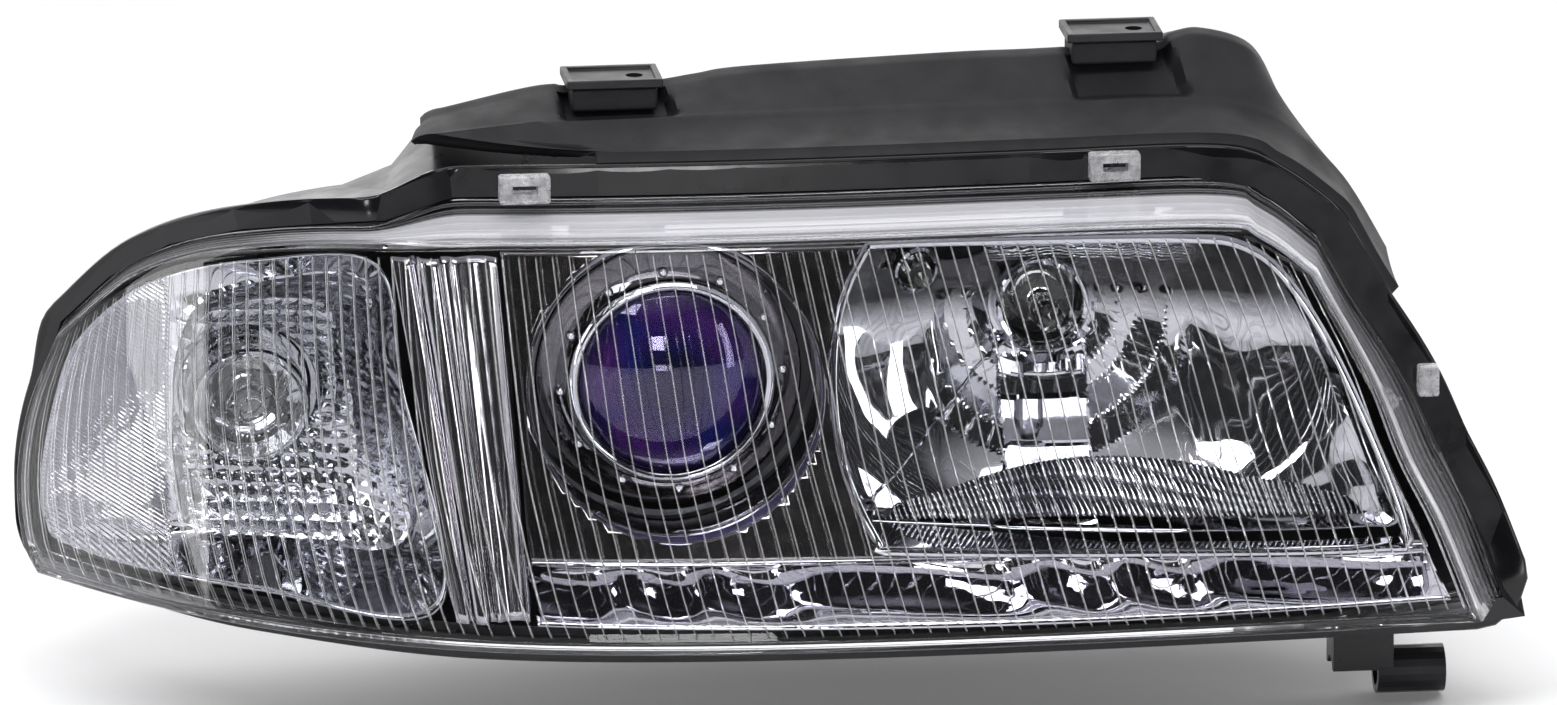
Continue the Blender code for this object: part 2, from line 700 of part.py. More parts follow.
def bowl_depth(x, z):
    """The high-beam reflector's free-form dish."""
    dx, dz = x - HIGH_AXIS[0], z - HIGH_AXIS[1]
    width = 150.0 if dx < 0 else 270.0
    return 48 - dx * dx / width - dz * dz / 150


def high_rim_depth(x, z):
    share = min(max((x - 62) / 140, 0), 1)
    return 18.2 - 16 * share + 0.12 * z


def make_high_reflector():
    rim = moved(loop_of(HIGH_OPENING, 28, high_rim_depth), 2.6, 0)
    x, z = HIGH_AXIS
    turns = [math.atan2(p.z - z, p.x - x) for p in rim]
    hole = [Vector((x + 17 * math.cos(a), 46, z + 17 * math.sin(a))) for a in turns]
    loops = [rim]
    for share in (0.06, 0.3, 0.65):
        ring = [p.lerp(q, share) for p, q in zip(rim, hole)]
        depths = [max(bowl_depth(p.x, p.z), high_rim_depth(p.x, p.z) + 4) for p in ring]
        loops.append([Vector((p.x, depth, p.z)) for p, depth in zip(ring, depths)])
    loops += [hole, [p + Vector((0, 10, 0)) for p in hole]]
    reflector = skin("high_beam_reflector", loops, "chrome", "beam_unit")
    thicken(reflector, 2.0, 1)
    bosses = []
    for k, (bx, bz) in enumerate(((84, 44), (84, -50), (222, -40), (205, 46))):
        start = max(bowl_depth(bx, bz), high_rim_depth(bx, bz) + 4) + 1
        boss = rod(f"high_boss_{k}", (bx, start, bz), 4.5, STACK + 6.2 - start, body="beam_unit", sides=8)
        bosses.append(boss)
    join(reflector, rod("bulb_seat", (x, 50, z), 23, 6, body="beam_unit", sides=24), *bosses)
    cut(
        reflector,
        rod("high_bulb_hole", (x, 30, z), 16.5, 40, body="beam_unit", sides=24),
        rod("parking_hole", (PARKING[0], -10, PARKING[1]), 7.5, 90, body="beam_unit", sides=14),
    )


def bowl_profile():
    """Half section of the projector's reflector, with its flange in front and its bulb seat behind."""
    front, reach = 62.5, math.radians(68)
    curve = []
    for k in range(4):
        angle = k / 3 * reach
        curve.append((38 * math.cos(angle), front + (BULB_SEAT - front) * math.sin(angle) / math.sin(reach)))
    outer = [(FLANGE_R, front - 2), (FLANGE_R, front), (40.3, front)] + [(r + 2.2, y) for r, y in curve[1:]]
    inner = [(16.4, BULB_SEAT), (12, BULB_SEAT)] + [(r, y - 0.5) for r, y in reversed(curve[:-1])]
    return outer + inner + [(38, front - 2)]


def make_projector():
    """Trim ring with its studs, lens, retaining ring, tube, shutter and bowl, on one axis."""
    inside = RING_OUT - 2.5
    flat = [(RING_IN, -4), (RING_OUT, 5), (RING_OUT, 9), (inside, 9), (inside, 7.5), (RING_IN, -1.2)]
    ring = turned("trim_ring", LOW_AXIS, flat, "smoked_chrome", "beam_unit", 30)
    for k in range(STUDS):
        angle = math.radians(360 / STUDS * k + 4)
        place = (STUD_CIRCLE * math.cos(angle), -4.4, STUD_CIRCLE * math.sin(angle))
        join(ring, rod(f"stud_{k}", place, 1.5, 3.2, body="beam_unit", sides=6))
    retainer = [(36.6, -7.5), (39, -8), (40.6, -6), (40.6, 3), (TUBE_R, 3), (TUBE_R, 8.5), (36.6, 8.5)]
    turned("lens_retainer", LOW_AXIS, retainer, "chrome", "beam_unit", 30)
    dome = [(0, -17)]
    reach = math.radians(50)
    for k in range(1, 6):
        angle = k / 5 * reach
        radius = PROJECTOR_LENS_R * math.sin(angle) / math.sin(reach)
        dome.append((radius, -17 + 34 * (1 - math.cos(angle))))
    dome += [(PROJECTOR_LENS_R, 2), (0, 3)]
    turned("projector_lens", LOW_AXIS, dome, "projector_glass", "beam_unit", 30)
    tube = [(40.4, 9), (40.4, STACK - 3), (FLANGE_R, STACK), (FLANGE_R, STACK + 3), (TUBE_R, STACK + 3), (TUBE_R, 9)]
    tube = turned("projector_tube", LOW_AXIS, tube, "cast_aluminium", "beam_unit", 24)
    shutter = rod(
        "cutoff_shutter", (0, STACK + 3.3, 0), FLANGE_R, 2.9, slot="zinc_steel", body="beam_unit", sides=24
    )
    cut(shutter, box("shutter_window", (-33, STACK, -4), (33, STACK + 10, 30), body="beam_unit"))
    bowl = turned("projector_bowl", LOW_AXIS, bowl_profile(), "chrome", "beam_unit", 24)
    outline = [(-50, -38), (-22, -58), (262, -58), (262, -25), (236, 30), (200, 50), (-22, 52), (-50, 38)]
    frame = plate("carrier_frame", outline, STACK + 6.5, STACK + 10.2, "grey_plastic", "beam_unit")
    cut(
        frame,
        rod("frame_low_hole", (0, 40, 0), 36.5, 40, body="beam_unit", sides=24),
        rod("frame_high_hole", (HIGH_AXIS[0], 40, HIGH_AXIS[1]), 29.5, 40, body="beam_unit", sides=20),
        rod("frame_parking_hole", (PARKING[0], 40, PARKING[1]), 11, 40, body="beam_unit", sides=12),
    )
    for k in range(3):
        angle = math.radians(90 + 120 * k)
        x, z = SCREW_CIRCLE * math.cos(angle), SCREW_CIRCLE * math.sin(angle)
        screw_hole = rod(f"screw_hole_{k}", (x, 40, z), 2.1, 40, body="beam_unit", sides=8)
        for part in (tube, shutter, bowl, frame):
            cut(part, screw_hole)
        profile = [(0, 48), (1.6, 48), (1.6, 62.8), (3.2, 62.8), (3.2, 65), (0, 65.4)]
        turned(f"projector_screw_{k + 1}", (x, z), profile, "zinc_steel", "beam_unit", 8)
    return frame


def make_aiming(frame):
    """The three-point suspension: ball and cup, levelling rod and motor, horizontal screw."""
    x, y, z = PIVOT
    join(
        frame,
        box("pivot_block", (x - 10, 58, z - 12.5), (x + 10, 86, z + 12.5), body="beam_unit"),
        box("level_block", (x - 8, 58, LEVEL_Z - 9), (x + 8, 83, LEVEL_Z + 9), body="beam_unit"),
        box("aim_block", (AIM_X - 8, 58, z - 9), (AIM_X + 8, 84, z + 9), body="beam_unit"),
    )
    cut(
        frame,
        rod("cup_bore", (x - 20, y, z), 9.9, 40, "X", body="beam_unit", sides=24),
        box("cup_mouth", (x - 20, y, z - 5.2), (x + 20, 100, z + 5.2), body="beam_unit"),
        rod("level_bore", (x - 20, y, LEVEL_Z), 5.7, 40, "X", body="beam_unit", sides=16),
        box("level_mouth", (x - 20, y, LEVEL_Z - 3.6), (x + 20, 100, LEVEL_Z + 3.6), body="beam_unit"),
        rod("aim_bore", (AIM_X, 40, z), 4.3, 60, body="beam_unit", sides=20),
    )
    cup = rod("ball_cup", (x - 9, y, z), 9.4, 18, "X", "white_plastic", "aim_link", 24)
    cut(cup, rod("ball_bore", (x, 50, z), BALL + 0.4, 50, body="aim_link"))
    neck = [(0, y), (3.4, y), (3.4, REAR - 9), (9, REAR - 8), (9, REAR - GAP), (3.6, REAR - GAP), (3.6, 172), (0, 172)]
    stud = turned("pivot_stud", (x, z), neck, "zinc_steel", steps=12)
    join(stud, ball("pivot_ball", PIVOT, BALL))
    nut = rod("pivot_nut", (x, WALL_BACK + GAP, z), 7.5, 5.5, slot="zinc_steel", sides=6)
    cut(nut, rod("nut_bore", (x, REAR, z), 4.0, 20, sides=12))
    rod_body = rod("levelling_rod", (x, y, LEVEL_Z), 2.6, 100, slot="white_plastic", body="levelling_rod", sides=12)
    join(rod_body, ball("rod_ball", (x, y, LEVEL_Z), 4.9, body="levelling_rod"))
    motor = box("levelling_motor", (x - 23, WALL_BACK + GAP, -86), (x + 23, 205, -41), "black_housing", rounding=3)
    neck_rod = rod("motor_neck", (x, 148, LEVEL_Z), 12.4, 20, sides=16)
    plug = box("motor_plug", (x - 12, 180, -93), (x + 12, 200, -80))
    join(motor, neck_rod, plug)
    cut(motor, rod("motor_bore", (x, 140, LEVEL_Z), 3.3, 45, sides=12))
    cut(motor, box("plug_well", (x - 10, 182, -100), (x + 10, 198, -84)))
    knob = [(0, 205.4), (4, 205.4), (4, 209), (8, 209), (8, 218), (0, 218)]
    level = turned("level_adjuster", (x, LEVEL_Z), knob, "white_plastic", "level_adjuster", 16)
    cut(level, box("level_hex", (x - 2.5, 213, LEVEL_Z - 2.5), (x + 2.5, 230, LEVEL_Z + 2.5), body="level_adjuster"))
    screw = [
        (0, 60), (3, 60), (3, 148), (9, 149), (9, REAR - GAP), (6.6, REAR - GAP), (6.6, WALL_BACK + GAP),
        (10, WALL_BACK + GAP), (10, 176), (0, 176),
    ]
    aim = turned("aim_adjuster", (AIM_X, z), screw, "white_plastic", "aim_adjuster", 16)
    cut(aim, box("aim_slot", (AIM_X - 1.2, 172, z - 7), (AIM_X + 1.2, 180, z + 7), body="aim_adjuster"))


def bulb_clip(name, axis, half, height, lean):
    """A sprung wire over a bulb's flange, hinged below it at axis; lean sets its plane before or behind that."""
    x, y, z = axis
    over = y + lean
    top = z + height
    route = [
        (x - half - 6, y, z), (x - half, y, z), (x - half, over, z + 5), (x - half, over, top - 3),
        (x - half + 3, over, top), (x + half - 3, over, top), (x + half, over, top - 3), (x + half, over, z + 5),
        (x + half, y, z), (x + half + 6, y, z),
    ]
    wire(name, route, 0.9, "zinc_steel", name)


def make_bulbs():
    low = [
        (0, 76), (3, 77), (5, 80), (5, 104), (7.5, 106), (7.5, BULB_SEAT + GAP), (15.5, BULB_SEAT + GAP),
        (15.5, BULB_SEAT + 2.2), (8, BULB_SEAT + 2.2), (8, BULB_SEAT + 8), (0, BULB_SEAT + 8),
    ]
    turned("low_beam_bulb", LOW_AXIS, low, "clear_glass", "beam_unit", 12)
    seat = BULB_SEAT + 8 + GAP
    turned("low_beam_plug", LOW_AXIS, [(0, seat), (9.5, seat), (9.5, seat + 12), (0, seat + 13)], "black_rubber", "beam_unit", 16)
    bulb_clip("low_bulb_clip", LOW_CLIP, 13.0, 40.0, 0.6)
    high = [
        (0, 16), (3, 17), (5.5, 20), (5.5, 48), (9, 50), (14, 52), (14, 56.3), (21, 56.3), (21, 58.8), (8, 58.8),
        (8, 66), (0, 66),
    ]
    turned("high_beam_bulb", HIGH_AXIS, high, "clear_glass", "beam_unit", 18)
    turned("high_beam_plug", HIGH_AXIS, [(0, 66.3), (10, 66.3), (10, 78), (0, 79)], "black_rubber", "beam_unit", 16)
    bulb_clip("high_bulb_clip", HIGH_CLIP, 14.0, 48.0, -1.7)
    start = bowl_depth(*PARKING) - 6
    lamp = [(0, start), (3, start + 1), (5, start + 4), (5, 52), (0, 52)]
    turned("parking_bulb", PARKING, lamp, "clear_glass", "beam_unit", 12)
    holder = [(0, 52.3), (7, 52.3), (7, 66), (10, 66), (10, 70), (0, 71)]
    turned("parking_holder", PARKING, holder, "black_rubber", "beam_unit", 12)


def make_indicator():
    x, z = INDICATOR_AXIS
    count = 28
    rim = loop_of(INDICATOR_RIM, count, lambda a, b: front_depth(a, b) + 10)
    field = loop_of(INDICATOR_FIELD, count, lambda a, b: max(front_depth(a, b) + 14, 42 - 0.3 * (a + 150) - 0.05 * b))
    turns = [math.atan2(p.z - z, p.x - x) for p in field]
    floor = [Vector((x + 29 * math.cos(a), 68, z + 27 * math.sin(a))) for a in turns]
    dish = [p.lerp(q, 0.5) + Vector((0, 6, 0)) for p, q in zip(field, floor)]
    hole = [Vector((x + 14 * math.cos(a), 74, z + 14 * math.sin(a))) for a in turns]
    reflector = skin("indicator_reflector", [rim, field, dish, floor, hole, moved(hole, 0, 6)], "chrome")
    thicken(reflector, 2.0, 1)
    cap = [
        (0, 36), (8, 36), (9, 37), (15, 37), (16, 38.5), (21, 38.5), (23.5, 42), (23.5, 65),
        (21.5, 65), (21.5, 42.8),
        (20.4, 40.6), (0, 39.4),
    ]
    turned("indicator_bulb_cap", INDICATOR_AXIS, cap, "clear_glass", steps=20)
    bulb = [(0, 48), (5, 49.5), (8, 54), (8, 66), (6, 74), (0, 74)]
    turned("indicator_bulb", INDICATOR_AXIS, bulb, "clear_glass", "indicator_holder", 14)
    wall = rear_depth(x)
    flange = wall + WALL + GAP
    holder = [(0, 74.3), (11, 74.3), (11, 90), (15, 92), (15, wall - 3), (17, wall - 3), (17, flange), (23, flange)]
    holder += [(23, flange + 4), (0, flange + 4)]
    socket = turned("indicator_holder", INDICATOR_AXIS, holder, "grey_plastic", "indicator_holder", 18)
    grip = box("holder_grip", (x - 18, flange + 3, z - 4), (x + 18, flange + 16, z + 4), body="indicator_holder")
    join(socket, grip)


def make_rear_covers():
    low = [
        (0, 183), (43, 181), (46.5, 176), (46.5, 165), (49.5, 165), (49.5, 178), (45, 183.5), (0, 186),
    ]
    cover = turned("low_beam_cover", LOW_AXIS, low, "black_housing", "low_cover", 24)
    join(cover, box("cover_lug", (-8, 165.5, 47.5), (8, 172, 56.5), body="low_cover"))
    cut(
        cover,
        rod("lug_bore", (-30, *COVER_AXIS), 1.9, 60, "X", body="low_cover", sides=12),
        box("lug_notch_left", (-14.8, 160, 44.5), (-8.2, 177, 60), body="low_cover"),
        box("lug_notch_right", (8.2, 160, 44.5), (14.8, 177, 60), body="low_cover"),
    )
    rod("cover_hinge_pin", (-15, *COVER_AXIS), 1.5, 30, "X", "zinc_steel", sides=12)
    seal = [(41.3, 172.3), (45, 172.3), (45, 176), (43, 178.5), (41.3, 178.5)]
    turned("cover_seal", LOW_AXIS, seal, "black_rubber", steps=24)
    y, z = BAIL_AXIS
    back = 189.0
    route = [
        (-59.5, y, z), (-53, y, z), (-53, y + 5, z - 8), (-53, back, 20), (-50, back, -8), (-42, back, -16),
        (42, back, -16), (50, back, -8), (53, back, 20), (53, y + 5, z - 8), (53, y, z), (59.5, y, z),
    ]
    wire("rear_bail", route, 1.5, "zinc_steel", "rear_bail")
    x, z = HIGH_AXIS
    cap = [(0, 172), (36, 171.6), (38.6, 169), (38.6, 163.6), (41, 163.6), (41, 171), (38, 174.5), (0, 175.5)]
    high = turned("high_beam_cap", HIGH_AXIS, cap, "black_housing", "high_cap", 20)
    join(high, box("cap_grip", (x - 26, 173, z - 3), (x + 26, 184, z + 3), body="high_cap"))


def make_rear_fittings():
    for tag, (x, z), wall in (("inner", (215, -55), REAR), ("outer", (-62, 40), None)):
        face = rear_depth(x) if wall is None else wall
        back = face + WALL + 3.2
        profile = [(0, face - 4), (3.9, face - 4), (3.9, back), (8, back), (8, back + 8), (0, back + 9)]
        turned("vent_cap_" + tag, (x, z), profile, "black_rubber", steps=12)
    low, high = (12, WALL_BACK + GAP, -82), (46, 186, -60)
    socket = box("wiring_socket", low, high, "black_housing", rounding=1.5)
    join(socket, box("socket_neck", (14.4, REAR - 4, -79.6), (43.6, 166, -62.4)))
    cut(socket, box("socket_well", (15, 172, -79), (43, 200, -63)))
    join(socket, *[box(f"pin_{k}", (18.5 + 6 * k, 171, -72), (19.5 + 6 * k, 183, -70)) for k in range(4)])


def make_lens_clips():
    """Spring clips that hold the lens foot against the flange."""
    for tag, x, z in (("outer", -55, 74), ("inner", 177, 76)):
        clip = box("lens_clip_" + tag, (x - 10, 13, z - 6), (x + 10, 20.5, z + 5), "white_plastic", rounding=1)
        cut(clip, box("clip_slot_" + tag, (x - 5, 0, z - 2), (x + 5, 40, z + 1.5)))
    box("lens_clip_side", (296, 1, -18), (304, 9, -6), "zinc_steel", rounding=1)


def main():
    start_scene()
    rows = lens_patch()
    foot, widths = foot_loop(rows)
    make_lens(rows, foot)
    housing = make_housing(foot, widths)
    make_top_cover(foot, widths)
    make_lower_foot(housing)
    make_bezel()
    make_divider()
    make_high_reflector()
    frame = make_projector()
    make_aiming(frame)
    make_bulbs()
    make_indicator()
    make_rear_covers()
    make_rear_fittings()
    make_lens_clips()


main()
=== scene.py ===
"""Looks for the car headlight: finer shells and reflectors, procedural finishes, studio light and camera."""

import math

import bpy
from mathutils import Matrix, Vector, noise

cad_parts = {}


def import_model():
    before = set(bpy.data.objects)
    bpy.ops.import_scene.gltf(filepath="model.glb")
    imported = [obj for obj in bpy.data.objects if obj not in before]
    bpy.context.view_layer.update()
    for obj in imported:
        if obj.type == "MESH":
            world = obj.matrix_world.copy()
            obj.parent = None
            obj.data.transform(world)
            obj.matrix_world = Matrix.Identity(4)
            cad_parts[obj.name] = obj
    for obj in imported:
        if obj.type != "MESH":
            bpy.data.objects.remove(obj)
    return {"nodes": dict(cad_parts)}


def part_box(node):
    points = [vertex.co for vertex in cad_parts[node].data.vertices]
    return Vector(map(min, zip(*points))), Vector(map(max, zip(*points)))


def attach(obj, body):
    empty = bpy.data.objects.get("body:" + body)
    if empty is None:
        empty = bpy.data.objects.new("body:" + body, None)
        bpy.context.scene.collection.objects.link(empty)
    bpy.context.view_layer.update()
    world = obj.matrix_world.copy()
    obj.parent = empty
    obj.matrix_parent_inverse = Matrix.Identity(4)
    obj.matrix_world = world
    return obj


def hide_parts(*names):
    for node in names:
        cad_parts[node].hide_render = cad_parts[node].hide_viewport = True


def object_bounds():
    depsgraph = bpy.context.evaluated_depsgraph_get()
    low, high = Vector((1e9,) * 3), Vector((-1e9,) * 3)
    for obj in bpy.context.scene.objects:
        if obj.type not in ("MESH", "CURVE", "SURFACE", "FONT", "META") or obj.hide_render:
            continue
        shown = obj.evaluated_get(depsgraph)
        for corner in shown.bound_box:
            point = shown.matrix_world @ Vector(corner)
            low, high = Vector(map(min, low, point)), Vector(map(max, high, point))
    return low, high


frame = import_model()
CAD_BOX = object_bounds()

# Shapes are in the lamp's own frame in millimetres: +X to the grille, +Y rearwards, +Z up, zero on the
# low-beam axis in the plane of the trim ring. LAMP is that zero in the row's frame.
MM = 0.001
LAMP = Vector((-0.185, -0.085, -0.115))


# ---- node helpers

def start(name, **sockets):
    """A new material and its Principled shader, with constant sockets set by name."""
    mat = bpy.data.materials.new(name)
    mat.use_nodes = True
    shader = mat.node_tree.nodes["Principled BSDF"]
    for socket, value in sockets.items():
        shader.inputs[socket.replace("_", " ")].default_value = value
    return mat, shader


def node(mat, kind, **settings):
    made = mat.node_tree.nodes.new(kind)
    for key, value in settings.items():
        socket = key.replace("_", " ")
        if socket in made.inputs:
            made.inputs[socket].default_value = value
        else:
            setattr(made, key, value)
    return made


def link(mat, source, target):
    mat.node_tree.links.new(source, target)


def coords(mat, stretch=(1, 1, 1), turn=(0, 0, 0)):
    """Row-frame coordinates, stretched along the axes."""
    place = node(mat, "ShaderNodeTexCoord")
    mapping = node(mat, "ShaderNodeMapping", Scale=stretch, Rotation=turn)
    link(mat, place.outputs["Object"], mapping.inputs["Vector"])
    return mapping.outputs["Vector"]


def axes(mat, uv_map=None):
    """The X, Y and Z sockets of the row-frame coordinates, or of a UV map."""
    if uv_map:
        vector = node(mat, "ShaderNodeUVMap", uv_map=uv_map).outputs["UV"]
    else:
        vector = node(mat, "ShaderNodeTexCoord").outputs["Object"]
    split = node(mat, "ShaderNodeSeparateXYZ")
    link(mat, vector, split.inputs["Vector"])
    return [split.outputs[axis] for axis in "XYZ"]


def noise_of(mat, scale, detail=3.0, stretch=(1, 1, 1), roughness=0.5):
    made = node(mat, "ShaderNodeTexNoise", Scale=scale, Detail=detail, Roughness=roughness)
    link(mat, coords(mat, stretch), made.inputs["Vector"])
    return made.outputs["Fac"]


def span(mat, value, low, high, lowest=0.3, highest=0.7):
    """Maps a 0.3..0.7 value, a noise's usual range, to low..high."""
    made = node(mat, "ShaderNodeMapRange", From_Min=lowest, From_Max=highest, To_Min=low, To_Max=high)
    link(mat, value, made.inputs["Value"])
    return made.outputs["Result"]


def maths(mat, operation, first, second=None):
    made = node(mat, "ShaderNodeMath", operation=operation)
    for index, value in enumerate((first, second)):
        if value is None:
            continue
        if isinstance(value, (int, float)):
            made.inputs[index].default_value = value
        else:
            link(mat, value, made.inputs[index])
    return made.outputs["Value"]


def ramp(mat, value, stops):
    made = node(mat, "ShaderNodeValToRGB")
    made.color_ramp.elements[0].position, made.color_ramp.elements[-1].position = stops[0][0], stops[-1][0]
    for place, color in stops[1:-1]:
        made.color_ramp.elements.new(place)
    for element, (place, color) in zip(made.color_ramp.elements, stops):
        element.position = place
        element.color = (*color, 1)
    link(mat, value, made.inputs["Fac"])
    return made.outputs["Color"]


def tint(mat, shader, scale, detail, stops):
    """Base colour that drifts with a noise between the stops."""
    link(mat, ramp(mat, noise_of(mat, scale, detail), stops), shader.inputs["Base Color"])


def haze(mat, shader, scale, detail, rough):
    """Roughness that wanders with a noise between two values."""
    link(mat, span(mat, noise_of(mat, scale, detail), *rough), shader.inputs["Roughness"])


def window(mat, value, rise, fall):
    """1 between a rising and a falling edge, each given as (from, to), and 0 outside them."""
    return maths(mat, "MULTIPLY", span(mat, value, 0.0, 1.0, *rise), span(mat, value, 1.0, 0.0, *fall))


def wave(mat, axis, turn=(0, 0, 0), **settings):
    """Height of a banded wave whose bands follow one another along the axis."""
    made = node(mat, "ShaderNodeTexWave", bands_direction=axis, **settings)
    link(mat, coords(mat, turn=turn), made.inputs["Vector"])
    return made.outputs["Fac"]


def bump(mat, shader, height, strength, distance):
    """Adds a bump in front of any already on the shader."""
    made = node(mat, "ShaderNodeBump", Strength=strength, Distance=distance)
    link(mat, height, made.inputs["Height"])
    if shader.inputs["Normal"].is_linked:
        link(mat, shader.inputs["Normal"].links[0].from_socket, made.inputs["Normal"])
    link(mat, made.outputs["Normal"], shader.inputs["Normal"])


# ---- materials

def metal(name, dark, light, rough, waves=0.0, waves_scale=30.0, scratches=0.0):
    """A mirror or metal: slow colour drift, fine haze in the roughness, slight waviness in the surface."""
    mat, shader = start(name, Metallic=1.0)
    tint(mat, shader, 14, 4, [(0.35, dark), (0.65, light)])
    haze(mat, shader, 160, 5, rough)
    if waves:
        bump(mat, shader, noise_of(mat, waves_scale, 2), waves, 0.002)
    if scratches:
        bump(mat, shader, noise_of(mat, 900, 2, (1, 0.08, 1)), scratches, 0.0002)
    return mat


def plastic(name, dark, light, rough, grain=0.1, grain_scale=900.0, coat=0.0, specular=0.5):
    """A moulded plastic: two close tones, patchy roughness, a fine grain and long shallow flow marks."""
    mat, shader = start(name, Coat_Weight=coat, Coat_Roughness=0.05, Specular_IOR_Level=specular)
    tint(mat, shader, 25, 5, [(0.3, dark), (0.7, light)])
    haze(mat, shader, 70, 6, rough)
    bump(mat, shader, noise_of(mat, grain_scale, 3), grain, 0.0003)
    bump(mat, shader, noise_of(mat, 18, 2, (0.3, 1, 1)), 0.15, 0.001)
    return mat


def clear_glass():
    """A clear solid that lets light through to what is behind it."""
    mat, shader = start("clear_glass", Transmission_Weight=1.0, IOR=1.45)
    tint(mat, shader, 20, 3, [(0.3, (0.97, 0.98, 0.98)), (0.7, (1.0, 1.0, 1.0))])
    haze(mat, shader, 120, 4, (0.0, 0.03))
    bump(mat, shader, noise_of(mat, 45, 2), 0.05, 0.001)
    pass_light(mat, shader, 0.85)
    return mat


def pass_light(mat, shader, shade):
    """Shadow rays see a plain transparent sheet, so the light inside isn't lost."""
    rays = node(mat, "ShaderNodeLightPath")
    open_sheet = node(mat, "ShaderNodeBsdfTransparent", Color=(shade, shade, shade, 1))
    mix = node(mat, "ShaderNodeMixShader")
    output = mat.node_tree.nodes["Material Output"]
    link(mat, rays.outputs["Is Shadow Ray"], mix.inputs[0])
    link(mat, shader.outputs["BSDF"], mix.inputs[1])
    link(mat, open_sheet.outputs["BSDF"], mix.inputs[2])
    link(mat, mix.outputs["Shader"], output.inputs["Surface"])


def dress(mat, *names):
    """Gives CAD nodes a material."""
    for name in names:
        obj = frame["nodes"][name]
        for index in range(len(obj.material_slots)):
            obj.material_slots[index].material = mat


def frosted():
    """Milky clear plastic with a stippled face."""
    mat, shader = start("frosted_clip", Transmission_Weight=0.55, IOR=1.45)
    tint(mat, shader, 300, 5, [(0.35, (0.45, 0.45, 0.48)), (0.65, (0.85, 0.85, 0.87))])
    haze(mat, shader, 500, 3, (0.15, 0.5))
    bump(mat, shader, noise_of(mat, 700, 2), 0.6, 0.0006)
    return mat


def coated():
    """The projector's thick lens under a blue coat: near black in the middle, with a painted violet and blue highlight
    in a band towards its rim.
    """
    mat, shader = start("coated_glass", Transmission_Weight=0.6, IOR=1.8, Specular_Tint=(0.75, 0.68, 1.0, 1))
    low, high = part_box("projector_lens")
    place = node(mat, "ShaderNodeTexCoord")
    shift = node(mat, "ShaderNodeVectorMath", operation="SUBTRACT")
    shift.inputs[1].default_value = (low + high) / 2
    link(mat, place.outputs["Object"], shift.inputs[0])
    flat = node(mat, "ShaderNodeVectorMath", operation="MULTIPLY")
    flat.inputs[1].default_value = (1, 0, 1)
    link(mat, shift.outputs["Vector"], flat.inputs[0])
    reach = node(mat, "ShaderNodeVectorMath", operation="LENGTH")
    link(mat, flat.outputs["Vector"], reach.inputs[0])
    wander = maths(mat, "MULTIPLY", noise_of(mat, 40, 2), 0.012)
    share = maths(mat, "MULTIPLY", maths(mat, "ADD", reach.outputs["Value"], wander), 1 / 0.042)
    # Painted highlight: violet and blue base colour in a band that peaks at 0.82 of the radius, fading to near black
    # in the middle and at the very edge.
    violet_highlight = ramp(mat, share, [
        (0.0, (0.004, 0.004, 0.010)), (0.35, (0.006, 0.005, 0.02)), (0.6, (0.03, 0.008, 0.09)),
        (0.82, (0.07, 0.016, 0.16)), (1.0, (0.01, 0.006, 0.04)),
    ])
    blue_highlight = ramp(mat, share, [
        (0.0, (0.004, 0.004, 0.010)), (0.4, (0.004, 0.005, 0.03)), (0.7, (0.006, 0.012, 0.16)),
        (1.0, (0.004, 0.006, 0.05)),
    ])
    tones = node(mat, "ShaderNodeMix", data_type="RGBA")
    link(mat, span(mat, noise_of(mat, 32, 2), 0.0, 1.0, 0.42, 0.58), tones.inputs[0])
    link(mat, violet_highlight, tones.inputs[6])
    link(mat, blue_highlight, tones.inputs[7])
    link(mat, tones.outputs[2], shader.inputs["Base Color"])
    haze(mat, shader, 90, 3, (0.0, 0.03))
    return mat


CHROME = metal("mirror_chrome", (0.52, 0.52, 0.56), (0.64, 0.64, 0.68), (0.02, 0.05), 0.02)
SHELF = metal("shelf_mirror", (0.55, 0.54, 0.58), (0.70, 0.69, 0.74), (0.02, 0.05), 0.25, 45)
RING_BLACK = metal("ring_black", (0.10, 0.10, 0.11), (0.18, 0.17, 0.18), (0.03, 0.08), 0.02)
SMOKED = metal("smoked_mirror", (0.22, 0.21, 0.22), (0.32, 0.30, 0.31), (0.03, 0.08), 0.02)
PILLAR = metal("pillar_mirror", (0.44, 0.43, 0.46), (0.54, 0.53, 0.56), (0.05, 0.09), 0.0)
ZINC = metal("zinc_plate", (0.50, 0.51, 0.52), (0.72, 0.73, 0.74), (0.22, 0.42), 0.05, 60, 0.3)
CAST = metal("cast_alloy", (0.42, 0.43, 0.45), (0.60, 0.61, 0.63), (0.4, 0.6), 0.25, 220)
COVER = plastic("grained_black", (0.007, 0.007, 0.009), (0.014, 0.014, 0.017), (0.48, 0.66), 0.3, 1400, 0.0, 0.3)
GLOSS = plastic("gloss_black", (0.004, 0.004, 0.005), (0.009, 0.009, 0.011), (0.1, 0.22), 0.03, 500, 0.1, 0.35)
NUT = plastic("blackened_steel", (0.006, 0.006, 0.008), (0.016, 0.016, 0.018), (0.3, 0.5), 0.5, 220, 0.0, 0.35)
HOUSING = plastic("satin_black", (0.006, 0.006, 0.008), (0.012, 0.012, 0.014), (0.24, 0.42), 0.05, 700, 0.1, 0.4)
RUBBER = plastic("black_rubber", (0.012, 0.012, 0.012), (0.03, 0.03, 0.03), (0.7, 0.9), 0.2, 500)
GREY = plastic("grey_moulding", (0.06, 0.06, 0.065), (0.10, 0.10, 0.11), (0.4, 0.6), 0.15, 600)
WHITE = plastic("natural_white", (0.62, 0.62, 0.60), (0.78, 0.78, 0.76), (0.3, 0.5), 0.05, 400)
FROSTED = frosted()
GLASS = clear_glass()
BLUE = coated()


# ---- shape helpers

